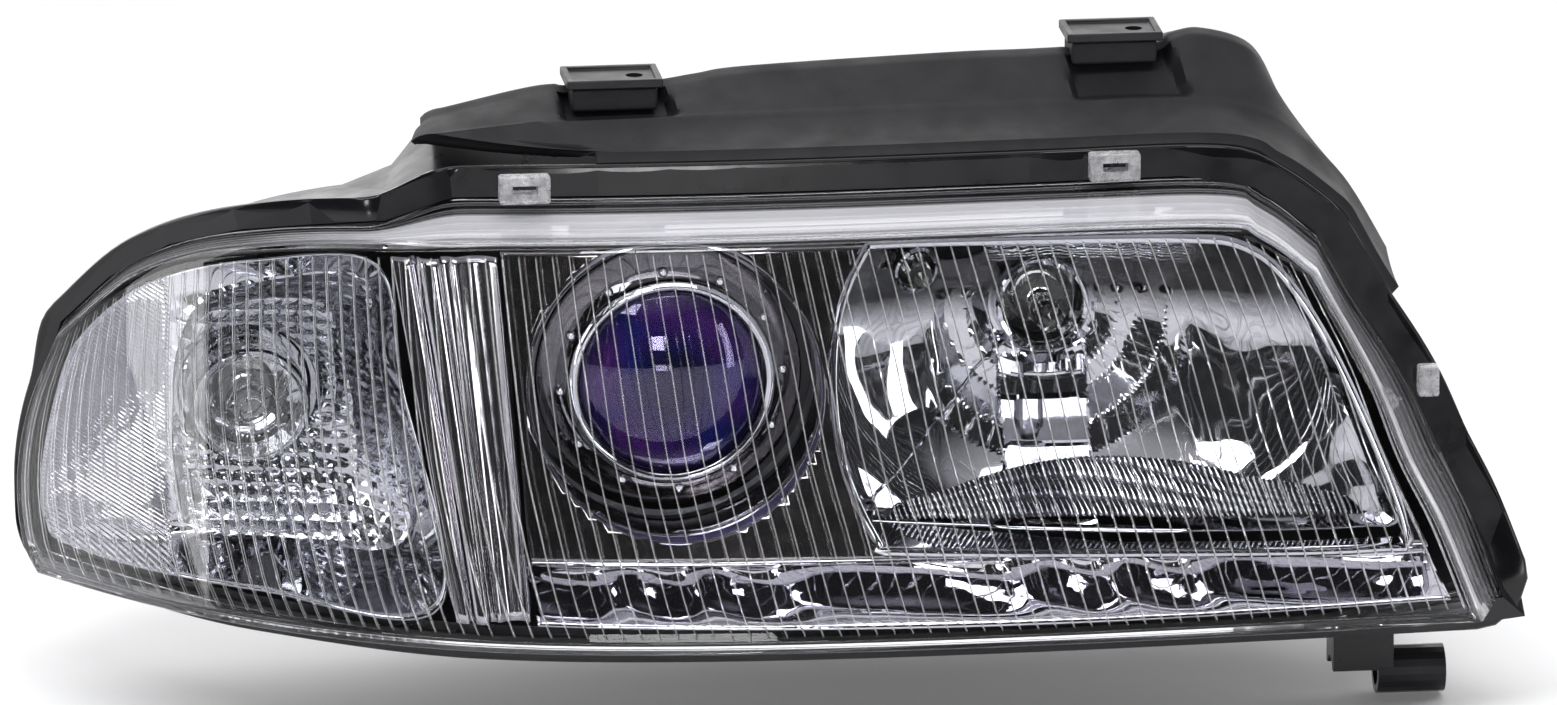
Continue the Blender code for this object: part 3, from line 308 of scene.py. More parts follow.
# The front face: its depth at the inner end, its lean with height, and where its sweep back starts and its span
NOSE, RAKE = -37.9, 0.231
SWEEP_FROM, SWEEP_SPAN = 318.0, 558.0
LENS_BOTTOM = [(-242, -91), (-103, -96), (0, -97), (147, -96), (311, -93)]
LENS_RIGHT = [(311, -93), (297, -57), (284, -31), (271, 2), (250, 41)]
LENS_TOP = [(-232, 2.5), (-203, 33.5), (-161, 50.5), (-90, 57.5), (73, 60.5), (206, 61.5), (230, 56), (250, 41)]
LENS_LEFT = [(-242, -91), (-247, -79), (-248, -55), (-243, -27), (-232, 2.5)]
# Mesh steps along the lens's long and short edges
ACROSS, UP = 126, 35
# Lens skirt: place round the edge (0, 1, 2 and 3 are the corners), how far its foot lies from the front edge in
# X, Y and Z, and the flange's width there
SKIRT = [
    (0.0, 4, 16, 3, 6), (0.15, 0, 20, -1, 6), (0.3, 0, 24, -4, 6), (0.88, 4, 28, -5, 6),
    (1.0, 16, 50, -3, 14), (1.5, 18, 54, -6, 14), (1.9, 11, 54, -4, 14), (2.0, 8, 52, 2, 14),
    (2.1, 4, 48, 6, 13), (2.2, 0, 45, 6, 13), (2.66, 0, 45, 6, 13), (2.74, 0, 14, 3, 11),
    (3.0, 3, 14, 2, 8), (3.3, 6, 15, 0, 6), (3.7, 6, 15, 0, 6), (4.0, 4, 16, 3, 6),
]
# Axes are (x, z), and so are the points of an outline
HIGH_AXIS = (152.0, 14.0)
PARKING = (102.0, 30.0)
INDICATOR_AXIS = (-160.0, -17.5)
HIGH_OPENING = [
    (76, 50), (66, 28), (63, 0), (67, -32), (79, -59), (86, -62), (180, -65), (272, -66), (283, -59),
    (260, 0), (240, 34), (223, 48), (200, 51.5), (140, 52.5), (84, 52.5),
]
INDICATOR_RIM = [
    (-113, 46), (-104, 0), (-92, -83), (-160, -83), (-226, -80), (-237, -72), (-238, -55), (-233, -26),
    (-223, 2), (-197, 29), (-158, 44),
]
INDICATOR_FIELD = [
    (-116, 36), (-110, 0), (-100, -70), (-150, -72), (-180, -70), (-188, -62), (-190, -45), (-190, -20),
    (-188, 4), (-178, 24), (-150, 35),
]


def front(x, z):
    """Depth of the lens's front face."""
    s = (SWEEP_FROM - x) / SWEEP_SPAN
    return NOSE + 10 * s**2 + 120 * s**6 + RAKE * z


def ease(t):
    t = min(max(t, 0.0), 1.0)
    return t * t * (3 - 2 * t)


def table(stations, at):
    """Reads rows of (place, values...) at a place, easing between them."""
    for low, high in zip(stations, stations[1:]):
        if at <= high[0]:
            t = ease((at - low[0]) / (high[0] - low[0]))
            return [a + (b - a) * t for a, b in zip(low[1:], high[1:])]
    return list(stations[-1][1:])


def curve(points, count, closed=False):
    """count points evenly spaced on a smooth curve through the given ones."""
    knots = [Vector(p) for p in points]
    total = len(knots)
    dense = []
    for i in range(total if closed else total - 1):
        if closed:
            a, b, c, d = (knots[(i + k) % total] for k in (-1, 0, 1, 2))
        else:
            a, b, c, d = knots[max(i - 1, 0)], knots[i], knots[i + 1], knots[min(i + 2, total - 1)]
        for step in range(24):
            t = step / 24
            dense.append(
                0.5 * (2 * b + (c - a) * t + (2 * a - 5 * b + 4 * c - d) * t**2 + (3 * b - a - 3 * c + d) * t**3)
            )
    dense.append(knots[0] if closed else knots[-1])
    reach = [0.0]
    for p, q in zip(dense, dense[1:]):
        reach.append(reach[-1] + (q - p).length)
    picked = []
    j = 0
    for k in range(count):
        goal = reach[-1] * k / (count if closed else count - 1)
        while j < len(reach) - 2 and reach[j + 1] < goal:
            j += 1
        share = (goal - reach[j]) / max(reach[j + 1] - reach[j], 1e-9)
        picked.append(dense[j].lerp(dense[j + 1], share))
    return picked


def circle(axis, radius, depth, count):
    """A loop round an axis (x, z), at depth(x, z) or at a fixed depth."""
    loop = []
    for k in range(count):
        angle = 2 * math.pi * k / count
        x, z = axis[0] + radius * math.cos(angle), axis[1] + radius * math.sin(angle)
        loop.append(Vector((x, depth(x, z) if callable(depth) else depth, z)))
    return loop


def loop_of(outline, count, depth):
    """A smooth loop through the outline's points, at depth(x, z)."""
    flat = curve([(x, 0, z) for x, z in outline], count, closed=True)
    return [Vector((p.x, depth(p.x, p.z), p.z)) for p in flat]


def moved(loop, out=0.0, back=0.0):
    """The loop moved outwards in its plane and rearwards; out may be a list."""
    outs = out if isinstance(out, list) else [out] * len(loop)
    result = []
    for k, p in enumerate(loop):
        along = loop[(k + 1) % len(loop)] - loop[k - 1]
        normal = Vector((along.z, 0, -along.x)).normalized()
        result.append(p + normal * outs[k] + Vector((0, back, 0)))
    return result


def piece(name, body, nodes, verts, faces, materials, picks=None, uvs=None, sharp=40):
    """A mesh in lamp mm that rides on a body and stands for CAD nodes. picks says which material each face has."""
    mesh = bpy.data.meshes.new(name)
    mesh.from_pydata([Vector(v) * MM + LAMP for v in verts], [], faces)
    for mat in materials:
        mesh.materials.append(mat)
    if picks:
        mesh.polygons.foreach_set("material_index", picks)
    if uvs:
        layer = mesh.uv_layers.new(name="run")
        for corner in mesh.loops:
            layer.data[corner.index].uv = uvs[corner.vertex_index]
    mesh.shade_smooth()
    mesh.set_sharp_from_angle(angle=math.radians(sharp))
    obj = bpy.data.objects.new(name, mesh)
    bpy.context.scene.collection.objects.link(obj)
    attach(obj, body)
    if nodes:
        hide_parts(*nodes)
    return obj


def thick(obj, wall, side=-1):
    solid = obj.modifiers.new("wall", "SOLIDIFY")
    solid.thickness = wall * MM
    solid.offset = side
    return obj


def bands(loops, first=0):
    """Faces between loops of equal length, laid front to rear with the outside on the outer side."""
    count = len(loops[0])
    faces = []
    for j in range(len(loops) - 1):
        low, high = first + j * count, first + (j + 1) * count
        for k in range(count):
            n = (k + 1) % count
            faces.append((low + k, high + k, high + n, low + n))
    return faces


def flat_list(rows):
    return [p for row in rows for p in row]


def grid(across, rows):
    """Faces of a grid of points, across to a row."""
    return [(a, a + 1, a + across + 1, a + across)
            for j in range(rows - 1) for a in range(j * across, (j + 1) * across - 1)]


def sheet(name, body, nodes, rows, mat, wall, sharp=60):
    """A curved plate facing forwards from rows that run up, each left to right."""
    faces = grid(len(rows[0]), len(rows))
    return thick(piece(name, body, nodes, flat_list(rows), faces, [mat], sharp=sharp), wall)


def hoop(name, body, nodes, loops, mat, ring=True, sharp=40):
    """A closed ring or a sleeve through loops laid front to rear."""
    verts = flat_list(loops)
    faces = bands(loops + [loops[0]] if ring else loops)
    if ring:
        total = len(verts)
        faces = [tuple(v % total for v in face) for face in faces]
    return piece(name, body, nodes, verts, faces, [mat], sharp=sharp)


def lathe(name, body, nodes, axis, profile, mat, steps=96):
    """A turned solid about Y through axis (x, z): profile (radius, y) from the front, down the outside."""
    verts, loops = [], []
    for radius, y in profile:
        if radius < 1e-6:
            loops.append([len(verts)] * steps)
            verts.append((axis[0], y, axis[1]))
            continue
        loops.append(list(range(len(verts), len(verts) + steps)))
        for k in range(steps):
            angle = 2 * math.pi * k / steps
            verts.append((axis[0] + radius * math.cos(angle), y, axis[1] + radius * math.sin(angle)))
    if profile[0][0] > 0:
        loops.append(loops[0])
    faces = []
    for near, far in zip(loops, loops[1:]):
        for k in range(steps):
            n = (k + 1) % steps
            corners = []
            for v in (near[k], far[k], far[n], near[n]):
                if v not in corners:
                    corners.append(v)
            if len(corners) > 2:
                faces.append(tuple(corners))
    return piece(name, body, nodes, verts, faces, [mat], sharp=32)


def rounded(profile, radius):
    """The profile with all corners rounded but its two ends."""
    steps = 4
    result = [profile[0]]
    for before, corner, after in zip(profile, profile[1:], profile[2:]):
        a, c, b = Vector(before), Vector(corner), Vector(after)
        start_point = c + (a - c).normalized() * min(radius, (a - c).length / 2.1)
        end_point = c + (b - c).normalized() * min(radius, (b - c).length / 2.1)
        for k in range(steps + 1):
            t = k / steps
            p = start_point * (1 - t) ** 2 + c * 2 * t * (1 - t) + end_point * t**2
            result.append((p.x, p.y))
    result.append(profile[-1])
    return result


# ---- floor, light and camera

def stage():
    mesh = bpy.data.meshes.new("floor")
    low = CAD_BOX[0].z - 0.001
    corners = ((-60, -60), (60, -60), (60, 60), (-60, 60))
    mesh.from_pydata([(x, y, low) for x, y in corners], [], [(0, 1, 2, 3)])
    floor = bpy.data.objects.new("floor", mesh)
    bpy.context.scene.collection.objects.link(floor)
    mat, shader = start("pale_floor")
    tint(mat, shader, 2, 2, [(0.3, (0.86, 0.86, 0.87)), (0.7, (0.90, 0.90, 0.91))])
    haze(mat, shader, 5, 2, (0.8, 0.95))
    mesh.materials.append(mat)


def softbox(name, place, target, size, power):
    """A rectangular area light, facing the target."""
    data = bpy.data.lights.new(name, "AREA")
    data.shape = "RECTANGLE"
    data.size, data.size_y = size
    data.energy = power
    light = bpy.data.objects.new(name, data)
    light.location = place
    light.rotation_euler = (Vector(target) - Vector(place)).to_track_quat("-Z", "Y").to_euler()
    bpy.context.scene.collection.objects.link(light)


def world():
    """A white studio with a dark end behind the camera, so that mirrors show both."""
    scene = bpy.context.scene
    scene.view_settings.view_transform = "Standard"
    scene.world = bpy.data.worlds.new("studio")
    scene.world.use_nodes = True
    tree = scene.world.node_tree
    place = tree.nodes.new("ShaderNodeTexCoord")
    split = tree.nodes.new("ShaderNodeSeparateXYZ")
    tree.links.new(place.outputs["Generated"], split.inputs["Vector"])
    parts = []
    for axis, low, high, dark, bright in (("Y", -0.05, 0.3, 0.03, 1.75), ("Z", 0.62, 0.85, 0.0, 0.6)):
        reach = tree.nodes.new("ShaderNodeMapRange")
        reach.interpolation_type = "SMOOTHSTEP"
        for socket, value in (("From Min", low), ("From Max", high), ("To Min", dark), ("To Max", bright)):
            reach.inputs[socket].default_value = value
        tree.links.new(split.outputs[axis], reach.inputs["Value"])
        parts.append(reach.outputs["Result"])
    total = tree.nodes.new("ShaderNodeMath")
    total.operation = "MAXIMUM"
    tree.links.new(parts[0], total.inputs[0])
    tree.links.new(parts[1], total.inputs[1])
    tree.links.new(total.outputs["Value"], tree.nodes["Background"].inputs["Strength"])
    tree.nodes["Background"].inputs["Color"].default_value = (1.0, 1.0, 1.0, 1)


def camera():
    """The photo's viewpoint: a long way off, a little above and to the outer side."""
    elevation, azimuth = math.radians(15), math.radians(-7)
    distance, width = 7.0, 0.6072
    level = math.cos(elevation)
    back = Vector((math.sin(azimuth) * level, -math.cos(azimuth) * level, math.sin(elevation)))
    right = Vector((math.cos(azimuth), math.sin(azimuth), 0))
    up = back.cross(right)
    target = LAMP + right * 0.0423 + up * 0.0099
    data = bpy.data.cameras.new("camera")
    data.sensor_width = 36
    data.lens = data.sensor_width * distance / width
    data.clip_end = 100
    view = bpy.data.objects.new("camera", data)
    view.location = target + back * distance
    view.rotation_mode = "QUATERNION"
    view.rotation_quaternion = Matrix((right, up, back)).transposed().to_quaternion()
    bpy.context.scene.collection.objects.link(view)
    bpy.context.scene.camera = view


MIDDLE = (-0.15, 0, -0.1)

stage()
world()
softbox("left_box", (-2.35, -0.55, 0.45), MIDDLE, (0.6, 1.2), 9)
softbox("right_box", (1.7, -1.7, 0.4), (-0.05, 0, -0.1), (0.3, 1.5), 9)
softbox("top_box", (-0.1, -0.9, 1.9), (-0.1, 0, -0.1), (1.7, 0.6), 17)
softbox("upper_left_box", (-1.1, -1.2, 1.5), MIDDLE, (0.5, 0.4), 6)
softbox("camera_box", (-1.15, -9.6, 3.1), MIDDLE, (2.0, 1.9), 160)
softbox("low_box", (-0.25, -2.0, -0.1), (-0.15, 0, -0.12), (0.35, 0.14), 1.0)
camera()

# ---- lens

def coons(bottom, right, top, left):
    """Rows of points of a surface between four edges."""
    across, up = len(bottom) - 1, len(left) - 1
    rows = []
    for j in range(up + 1):
        v = j / up
        row = []
        for i in range(across + 1):
            u = i / across
            ruled = bottom[i] * (1 - v) + top[i] * v + left[j] * (1 - u) + right[j] * u
            below = bottom[0] * (1 - u) * (1 - v) + bottom[-1] * u * (1 - v)
            above = top[0] * (1 - u) * v + top[-1] * u * v
            row.append(ruled - below - above)
        rows.append(row)
    return rows


def lens_rows():
    edges = ((LENS_BOTTOM, ACROSS), (LENS_RIGHT, UP), (LENS_TOP, ACROSS), (LENS_LEFT, UP))
    flat = [curve([(x, 0, z) for x, z in edge], count + 1) for edge, count in edges]
    return [[Vector((p.x, front(p.x, p.z), p.z)) for p in row] for row in coons(*flat)]


def rim_of(rows):
    """The edge of the rows as one loop."""
    right = [row[-1] for row in rows[1:]]
    left = [row[0] for row in rows[1:-1]]
    return list(rows[0]) + right + list(reversed(rows[-1]))[1:] + list(reversed(left))


def foot_of(edge):
    """The lens skirt's foot loop and the flange's width at each of its points."""
    places = [i / ACROSS for i in range(ACROSS)] + [1 + j / UP for j in range(UP)]
    places += [2 + i / ACROSS for i in range(ACROSS)] + [3 + j / UP for j in range(UP)]
    foot, widths = [], []
    for point, at in zip(edge, places):
        dx, dy, dz, width = table(SKIRT, at)
        foot.append(point + Vector((dx, dy, dz)))
        widths.append(width)
    return foot, widths


# Width of the lens face in cm, and the spacing of its raised lines in mm: wide, close over the indicator, and how
# many cm from the outer end it changes
LENS_RUN = 55.3
FLUTE, FINE_FLUTE, FLUTES_CHANGE = 7.0, 5.4, 17.5


def fluted():
    """The lens face: thin raised lines that run up it, set closer over the indicator, with a painted highlight along
    each.
    """
    mat, shader = start("fluted_lens", IOR=1.42, Specular_IOR_Level=0.3)
    along, up, _ = axes(mat, "run")
    lines = []
    for pitch, half in ((FLUTE, 0.046), (FINE_FLUTE, 0.04)):
        turn = maths(mat, "FRACT", maths(mat, "MULTIPLY", along, 10 / pitch))
        off = maths(mat, "ABSOLUTE", maths(mat, "SUBTRACT", turn, 0.5))
        lines.append(span(mat, off, 1.0, 0.0, half * 0.15, half))
    pick = node(mat, "ShaderNodeMix", data_type="FLOAT")
    link(mat, maths(mat, "LESS_THAN", along, FLUTES_CHANGE), pick.inputs[0])
    link(mat, lines[0], pick.inputs[2])
    link(mat, lines[1], pick.inputs[3])
    inside = window(mat, up, (0.035, 0.045), (0.955, 0.965))
    line = maths(mat, "MULTIPLY", pick.outputs[0], inside)
    # The lines let less light through, so they show whitish: a painted highlight where the flutes catch the light,
    # besides their real bump.
    link(mat, span(mat, line, 1.0, 0.74, 0.0, 1.0), shader.inputs["Transmission Weight"])
    tint(mat, shader, 20, 3, [(0.3, (0.97, 0.98, 1.0)), (0.7, (1.0, 1.0, 1.0))])
    haze(mat, shader, 110, 4, (0.0, 0.02))
    bump(mat, shader, line, 0.6, 0.0004)
    pass_light(mat, shader, 0.92)
    return mat


def skirt_clear():
    """The moulded sides of the lens: clear and a little milky, with long steps that run round it, a painted highlight
    along each step, and painted light that makes the roof part whiter.
    """
    mat, shader = start("lens_skirt", IOR=1.42)
    around, back, _ = axes(mat, "run")
    tint(mat, shader, 9, 2, [(0.3, (0.66, 0.66, 0.70)), (0.7, (0.76, 0.76, 0.79))])
    body = window(mat, back, (0.10, 0.14), (0.60, 0.66))
    # Painted light: the roof part of the skirt is made whiter, as where the light from above falls on it.
    roof = window(mat, around, (15.6, 16.6), (25.0, 26.6))
    milky_and_sheen = maths(mat, "MULTIPLY", body, maths(mat, "ADD", maths(mat, "MULTIPLY", roof, 0.42), 0.06))
    steps = maths(mat, "SINE", maths(mat, "MULTIPLY", back, 19.0))
    # Painted highlight: a thin whiter line on each step, where the steps catch the light.
    lines = maths(mat, "POWER", maths(mat, "ABSOLUTE", steps), 24.0)
    milky_and_sheen = maths(mat, "ADD", milky_and_sheen, maths(mat, "MULTIPLY", lines, 0.25))
    link(mat, maths(mat, "SUBTRACT", 1.0, milky_and_sheen), shader.inputs["Transmission Weight"])
    haze(mat, shader, 110, 4, (0.01, 0.04))
    bump(mat, shader, steps, 0.1, 0.0004)
    pass_light(mat, shader, 0.92)
    return mat


def lens():
    rows = lens_rows()
    edge = rim_of(rows)
    foot, widths = foot_of(edge)
    across = len(rows[0])
    verts = flat_list(rows)
    uvs = [(LENS_RUN * i / ACROSS, j / UP) for j in range(UP + 1) for i in range(across)]
    shares = (0.0, 0.03, 0.07, 0.2, 0.35, 0.5, 0.65, 0.8, 0.92, 1.0)
    loops = []
    for share in shares:
        swell = 0.8 * min(share / 0.07, 1.0) * (1 - max(share - 0.07, 0) / 0.93) if share else 0.0
        loops.append(moved([p.lerp(q, share) for p, q in zip(edge, foot)], swell))
    loops[0] = edge
    verts += flat_list(loops)
    uvs += [(k / 10, share) for share in shares for k in range(len(edge))]
    skirt = bands(loops, len(rows) * across)
    face = grid(across, len(rows))
    picks = [0] * len(face) + [1] * len(skirt)
    finishes = [fluted(), skirt_clear()]
    obj = piece("lens_shell", "housing", ["lens"], verts, face + skirt, finishes, picks, uvs, 50)
    weld = obj.modifiers.new("weld", "WELD")
    weld.merge_threshold = 0.00001
    thick(obj, 2.6)
    return foot, widths


# ---- bezel

# Up the bezel panel: height, and how far it stands behind the lens face
SETBACK = [(-90, 5), (-75, 29), (-73, 30), (-67, 14.8), (-50, 14.5), (80, 13)]


def setback(z):
    return table(SETBACK, z)[0]


def panel_rows(columns, rows_each):
    """Rows of the shelf along the bottom, then rows of the panel above it."""
    left = [(-56, -88), (-57.5, -77), (-58.5, -66), (-60, -55), (-62, -10), (-64, 30), (-66, 52)]
    right = [(301, -86), (297, -77), (293, -66), (288, -55), (268, -10), (250, 25), (241, 41)]
    middle = [(120, -90), (120, -78), (120, -66), (120, -55), (120, -10), (120, 30), (140, 54)]
    lines = []
    for a, b, c in zip(left[:-1], middle[:-1], right[:-1]):
        lines.append(curve([(a[0], 0, a[1]), (b[0], 0, b[1]), (c[0], 0, c[1])], columns))
    lines.append(curve([(-66, 0, 52), (73, 0, 54), (200, 0, 54.5), (222, 0, 51), (241, 0, 41)], columns))
    rows = []
    for low, high in zip(lines, lines[1:]):
        for step in range(rows_each):
            rows.append([p.lerp(q, step / rows_each) for p, q in zip(low, high)])
    rows.append(lines[-1])
    placed = [[Vector((p.x, front(p.x, p.z) + setback(p.z), p.z)) for p in row] for row in rows]
    return placed[: 2 * rows_each + 1], placed[2 * rows_each :]


def cutter(name, loops):
    """A closed block for a Boolean, hidden."""
    count = len(loops[0])
    verts = [p * MM + LAMP for loop in loops for p in loop]
    faces = bands(loops)
    faces.append(tuple(range(count)))
    faces.append(tuple(reversed(range((len(loops) - 1) * count, len(loops) * count))))
    mesh = bpy.data.meshes.new(name)
    mesh.from_pydata(verts, [], faces)
    obj = bpy.data.objects.new(name, mesh)
    obj.hide_render = True
    obj.hide_viewport = True
    bpy.context.scene.collection.objects.link(obj)
    return obj


def carve(obj, *others):
    """Cuts the others out and bakes the result into the mesh."""
    for other in others:
        step = obj.modifiers.new("cut", "BOOLEAN")
        step.object = other
        step.solver = "EXACT"
        other.hide_viewport = False
    graph = bpy.context.evaluated_depsgraph_get()
    mesh = bpy.data.meshes.new_from_object(obj.evaluated_get(graph))
    obj.modifiers.clear()
    obj.data = mesh
    for other in others:
        bpy.data.objects.remove(other, do_unlink=True)


# How far the projector's shroud stands behind the lens face
SHROUD_BACK = 8.5


def bezel():
    shelf_rows, panel_rows_up = panel_rows(150, 9)
    panel = sheet("bezel_panel", "housing", ["bezel"], panel_rows_up, SMOKED, 2.2)
    for row in shelf_rows:
        for p in row:
            depth = ease((p.z + 88) / 6) * ease((-68 - p.z) / 5)
            p.y += depth * 2.4 * math.sin(p.x / 8.5 + 2.2 * math.sin(p.x / 27) + p.z / 5)
    sheet("mirror_shelf", "housing", [], shelf_rows, SHELF, 0.8)
    opening = moved(loop_of(HIGH_OPENING, 160, lambda x, z: 0), 1.0)
    hole = cutter("high_hole", [moved(opening, 0.0, y) for y in (-80, 60)])
    tunnel = cutter("shroud_hole", [circle((0, 0), 57.2, y, 120) for y in (-80, 60)])
    carve(panel, hole, tunnel)
    sleeve = []
    for radius, back in ((56.5, 0.6), (56.9, 0.0), (57.5, 0.0), (58.0, 0.7)):
        sleeve.append(circle((0, 0), radius, lambda x, z: front(x, z) + SHROUD_BACK + back, 120))
    sleeve += [circle((0, 0), radius, 12, 120) for radius in (57.9, 56.5)]
    hoop("projector_shroud", "housing", [], sleeve, CHROME)
    lip_front = loop_of(HIGH_OPENING, 200, lambda x, z: front(x, z) + setback(z))
    ends = []
    for p in lip_front:
        share = min(max((p.x - 62) / 110, 0), 1)
        ends.append(Vector((p.x, max(11 + p.y * share, p.y + 6), p.z)))
    crown = ((0.3, -2.6), (1.0, -3.0), (2.2, -2.8), (3.2, -1.6), (3.4, 0.5))
    lip = [moved(lip_front, out, back) for out, back in crown]
    lip += [moved(ends, 2.0), moved(ends, 0.2), moved(lip_front, 0.05, 2.0), moved(lip_front, 0.0, -1.6)]
    hoop("high_beam_lip", "housing", [], lip, CHROME)


# ---- projector

# The studs on the trim ring: how many, and their distance from the axis. The projector's lens: radius and half arc
STUDS, STUD_REACH = 12, 43.7
LENS_RADIUS, LENS_ARC = 35.9, math.radians(50)


def projector():
    ring = rounded([
        (41.2, -1.4), (41.2, -4.6), (43.0, -3.4), (51.6, 4.4), (52.2, 5.2), (52.2, 8.8), (50.0, 8.8), (49.8, 7.4),
        (41.2, -1.4),
    ], 0.5)
    lathe("trim_ring_shell", "beam_unit", ["trim_ring"], (0, 0), ring, SMOKED, 160)
    face = [(41.3, -4.5), (41.3, -4.95), (43.2, -3.75), (45.2, -1.85), (45.2, -1.2), (43.0, -3.2), (41.3, -4.5)]
    lathe("ring_face", "beam_unit", [], (0, 0), face, RING_BLACK, 160)
    stud = [(0, -5.3), (0.9, -5.2), (1.6, -4.6), (1.9, -3.8), (1.9, -1.8), (0, -1.8)]
    for k in range(STUDS):
        angle = math.radians(360 / STUDS * k + 4)
        axis = (STUD_REACH * math.cos(angle), STUD_REACH * math.sin(angle))
        lathe(f"ring_stud_{k + 1}", "beam_unit", [], axis, stud, CHROME, 20)
    retainer = rounded([
        (37.0, 8.4), (36.8, -7.0), (38.6, -8.0), (40.5, -6.2), (40.5, 2.8), (38.2, 3.2), (38.2, 8.4), (37.0, 8.4),
    ], 0.6)
    lathe("lens_retainer_shell", "beam_unit", ["lens_retainer"], (0, 0), retainer, CHROME, 160)
    dome = []
    for k in range(25):
        angle = k / 24 * LENS_ARC
        dome.append((LENS_RADIUS * math.sin(angle) / math.sin(LENS_ARC), -16.9 + 33.8 * (1 - math.cos(angle))))
    dome += [(LENS_RADIUS, 1.9), (0, 2.6)]
    lathe("coated_lens", "beam_unit", ["projector_lens"], (0, 0), dome, BLUE, 128)


# ---- high beam

def high_depth(x, z):
    """Depth of the dish."""
    dx, dz = x - HIGH_AXIS[0], z - HIGH_AXIS[1]
    return 48 - dx * dx / 300 - dz * dz / 150


def high_rim(x, z):
    """Depth of the dish's rim, which runs forward towards the inner end."""
    share = min(max((x - 62) / 140, 0), 1)
    return 19.0 - 16 * share + 0.12 * z


# Mirror bands beside and below the bulb hole: how far from its axis each ends, and its tilt against the dish
ARCS = [(21.5, 0.25), (30.0, -0.30), (38.0, 0.42), (49.0, -0.34), (59.0, 0.30), (90.0, 0.0)]
COLUMN = [(20.5, 0.2), (27.5, -0.55), (29.0, 0.5), (35.5, -0.05), (51.5, -0.42), (53.0, 0.5), (90.0, -0.1)]
COLUMN_HALF = 17.5


def banded(bands_out, reach):
    """Sawtooth height of the band that reach falls in."""
    low = 18.0
    for high, tilt in bands_out:
        if reach < high:
            middle = (low + min(high, 64.0)) / 2
            return tilt * (reach - middle)
        low = high
    return 0.0


def facets(x, z, t):
    """Mirror bands in the middle of the dish, smooth wings, fading out at its rim and at the bulb hole."""
    dx, dz = x - HIGH_AXIS[0], z - HIGH_AXIS[1]
    reach = math.hypot(dx, dz)
    fade = ease((t - 0.02) / 0.05) * ease((0.985 - t) / 0.04)
    if abs(dx) < COLUMN_HALF and dz < -12:
        return -fade * (banded(COLUMN, -dz) - 2.0 + 0.8 * (dx / COLUMN_HALF) ** 2)
    middle = ease((dx + 46) / 5) * ease((58 - dx) / 5) * ease((8 - dz) / 6)
    arcs = banded(ARCS, reach)
    wing = 0.8 * noise.noise(Vector((x / 21, z / 17, 3.0)))
    ledge = 1.6 * ease((dz - 19) / 3) * ease((dx + 18) / 3) * ease((52 - dx) / 3)
    return fade * (-middle * arcs + (1 - middle) * wing + ledge)


def dish_mirror():
    """Mirror with painted shade: darker over the wings of its roof, left bright across the middle of the roof, where a
    ripple bump runs.
    """
    mat, shader = start("dish_mirror", Metallic=1.0)
    tone = ramp(mat, noise_of(mat, 14, 4), [(0.35, (0.46, 0.46, 0.50)), (0.65, (0.58, 0.58, 0.62))])
    haze(mat, shader, 160, 5, (0.02, 0.06))
    along, _, up = axes(mat)
    base = LAMP.z + HIGH_AXIS[1] * MM
    west = LAMP.x + HIGH_AXIS[0] * MM
    # Painted shade: the base colour is darkened above the bulb's axis, by a noise-varied amount, but not on the ripple
    # band in the middle.
    roof = span(mat, up, 0.0, 1.0, base - 0.006, base + 0.006)
    middle = window(mat, along, (west - 0.022, west - 0.014), (west + 0.046, west + 0.060))
    ripples = maths(mat, "MULTIPLY", middle, span(mat, up, 0.0, 1.0, base + 0.016, base + 0.020))
    shade = maths(mat, "MULTIPLY", roof, maths(mat, "SUBTRACT", 1.0, ripples))
    drift = span(mat, noise_of(mat, 45, 3), 0.84, 0.97)
    dim = maths(mat, "SUBTRACT", 1.0, maths(mat, "MULTIPLY", shade, drift))
    dimmed = node(mat, "ShaderNodeVectorMath", operation="SCALE")
    link(mat, tone, dimmed.inputs[0])
    link(mat, dim, dimmed.inputs["Scale"])
    link(mat, dimmed.outputs["Vector"], shader.inputs["Base Color"])
    ripple = wave(mat, "Z", Scale=230.0, Distortion=9.0, Detail=2.0, Detail_Scale=0.6)
    bump(mat, shader, maths(mat, "MULTIPLY", ripple, ripples), 0.9, 0.0008)
    bump(mat, shader, noise_of(mat, 60, 2), 0.06, 0.001)
    return mat


def ribbed_mirror():
    """Mirror with fine slanted ribs, and painted highlights and shade along them that flash light and dark in patches.
    """
    mat, shader = start("ribbed_mirror", Metallic=1.0)
    ribs = wave(mat, "X", (0, 0.35, 0), Scale=150.0, Distortion=1.5, Detail=2.0, Detail_Scale=1.2)
    glint_patches = span(mat, noise_of(mat, 35, 2, (1, 0.3, 0.3)), 0.35, 1.3)
    # Painted highlight and shade: the base colour runs from near black to near white across each rib.
    painted_glint_tones = [(0.15, (0.03, 0.03, 0.04)), (0.45, (0.3, 0.3, 0.33)), (0.85, (0.85, 0.85, 0.88))]
    link(mat, ramp(mat, maths(mat, "MULTIPLY", ribs, glint_patches), painted_glint_tones), shader.inputs["Base Color"])
    haze(mat, shader, 160, 5, (0.06, 0.14))
    bump(mat, shader, ribs, 0.7, 0.0006)
    return mat


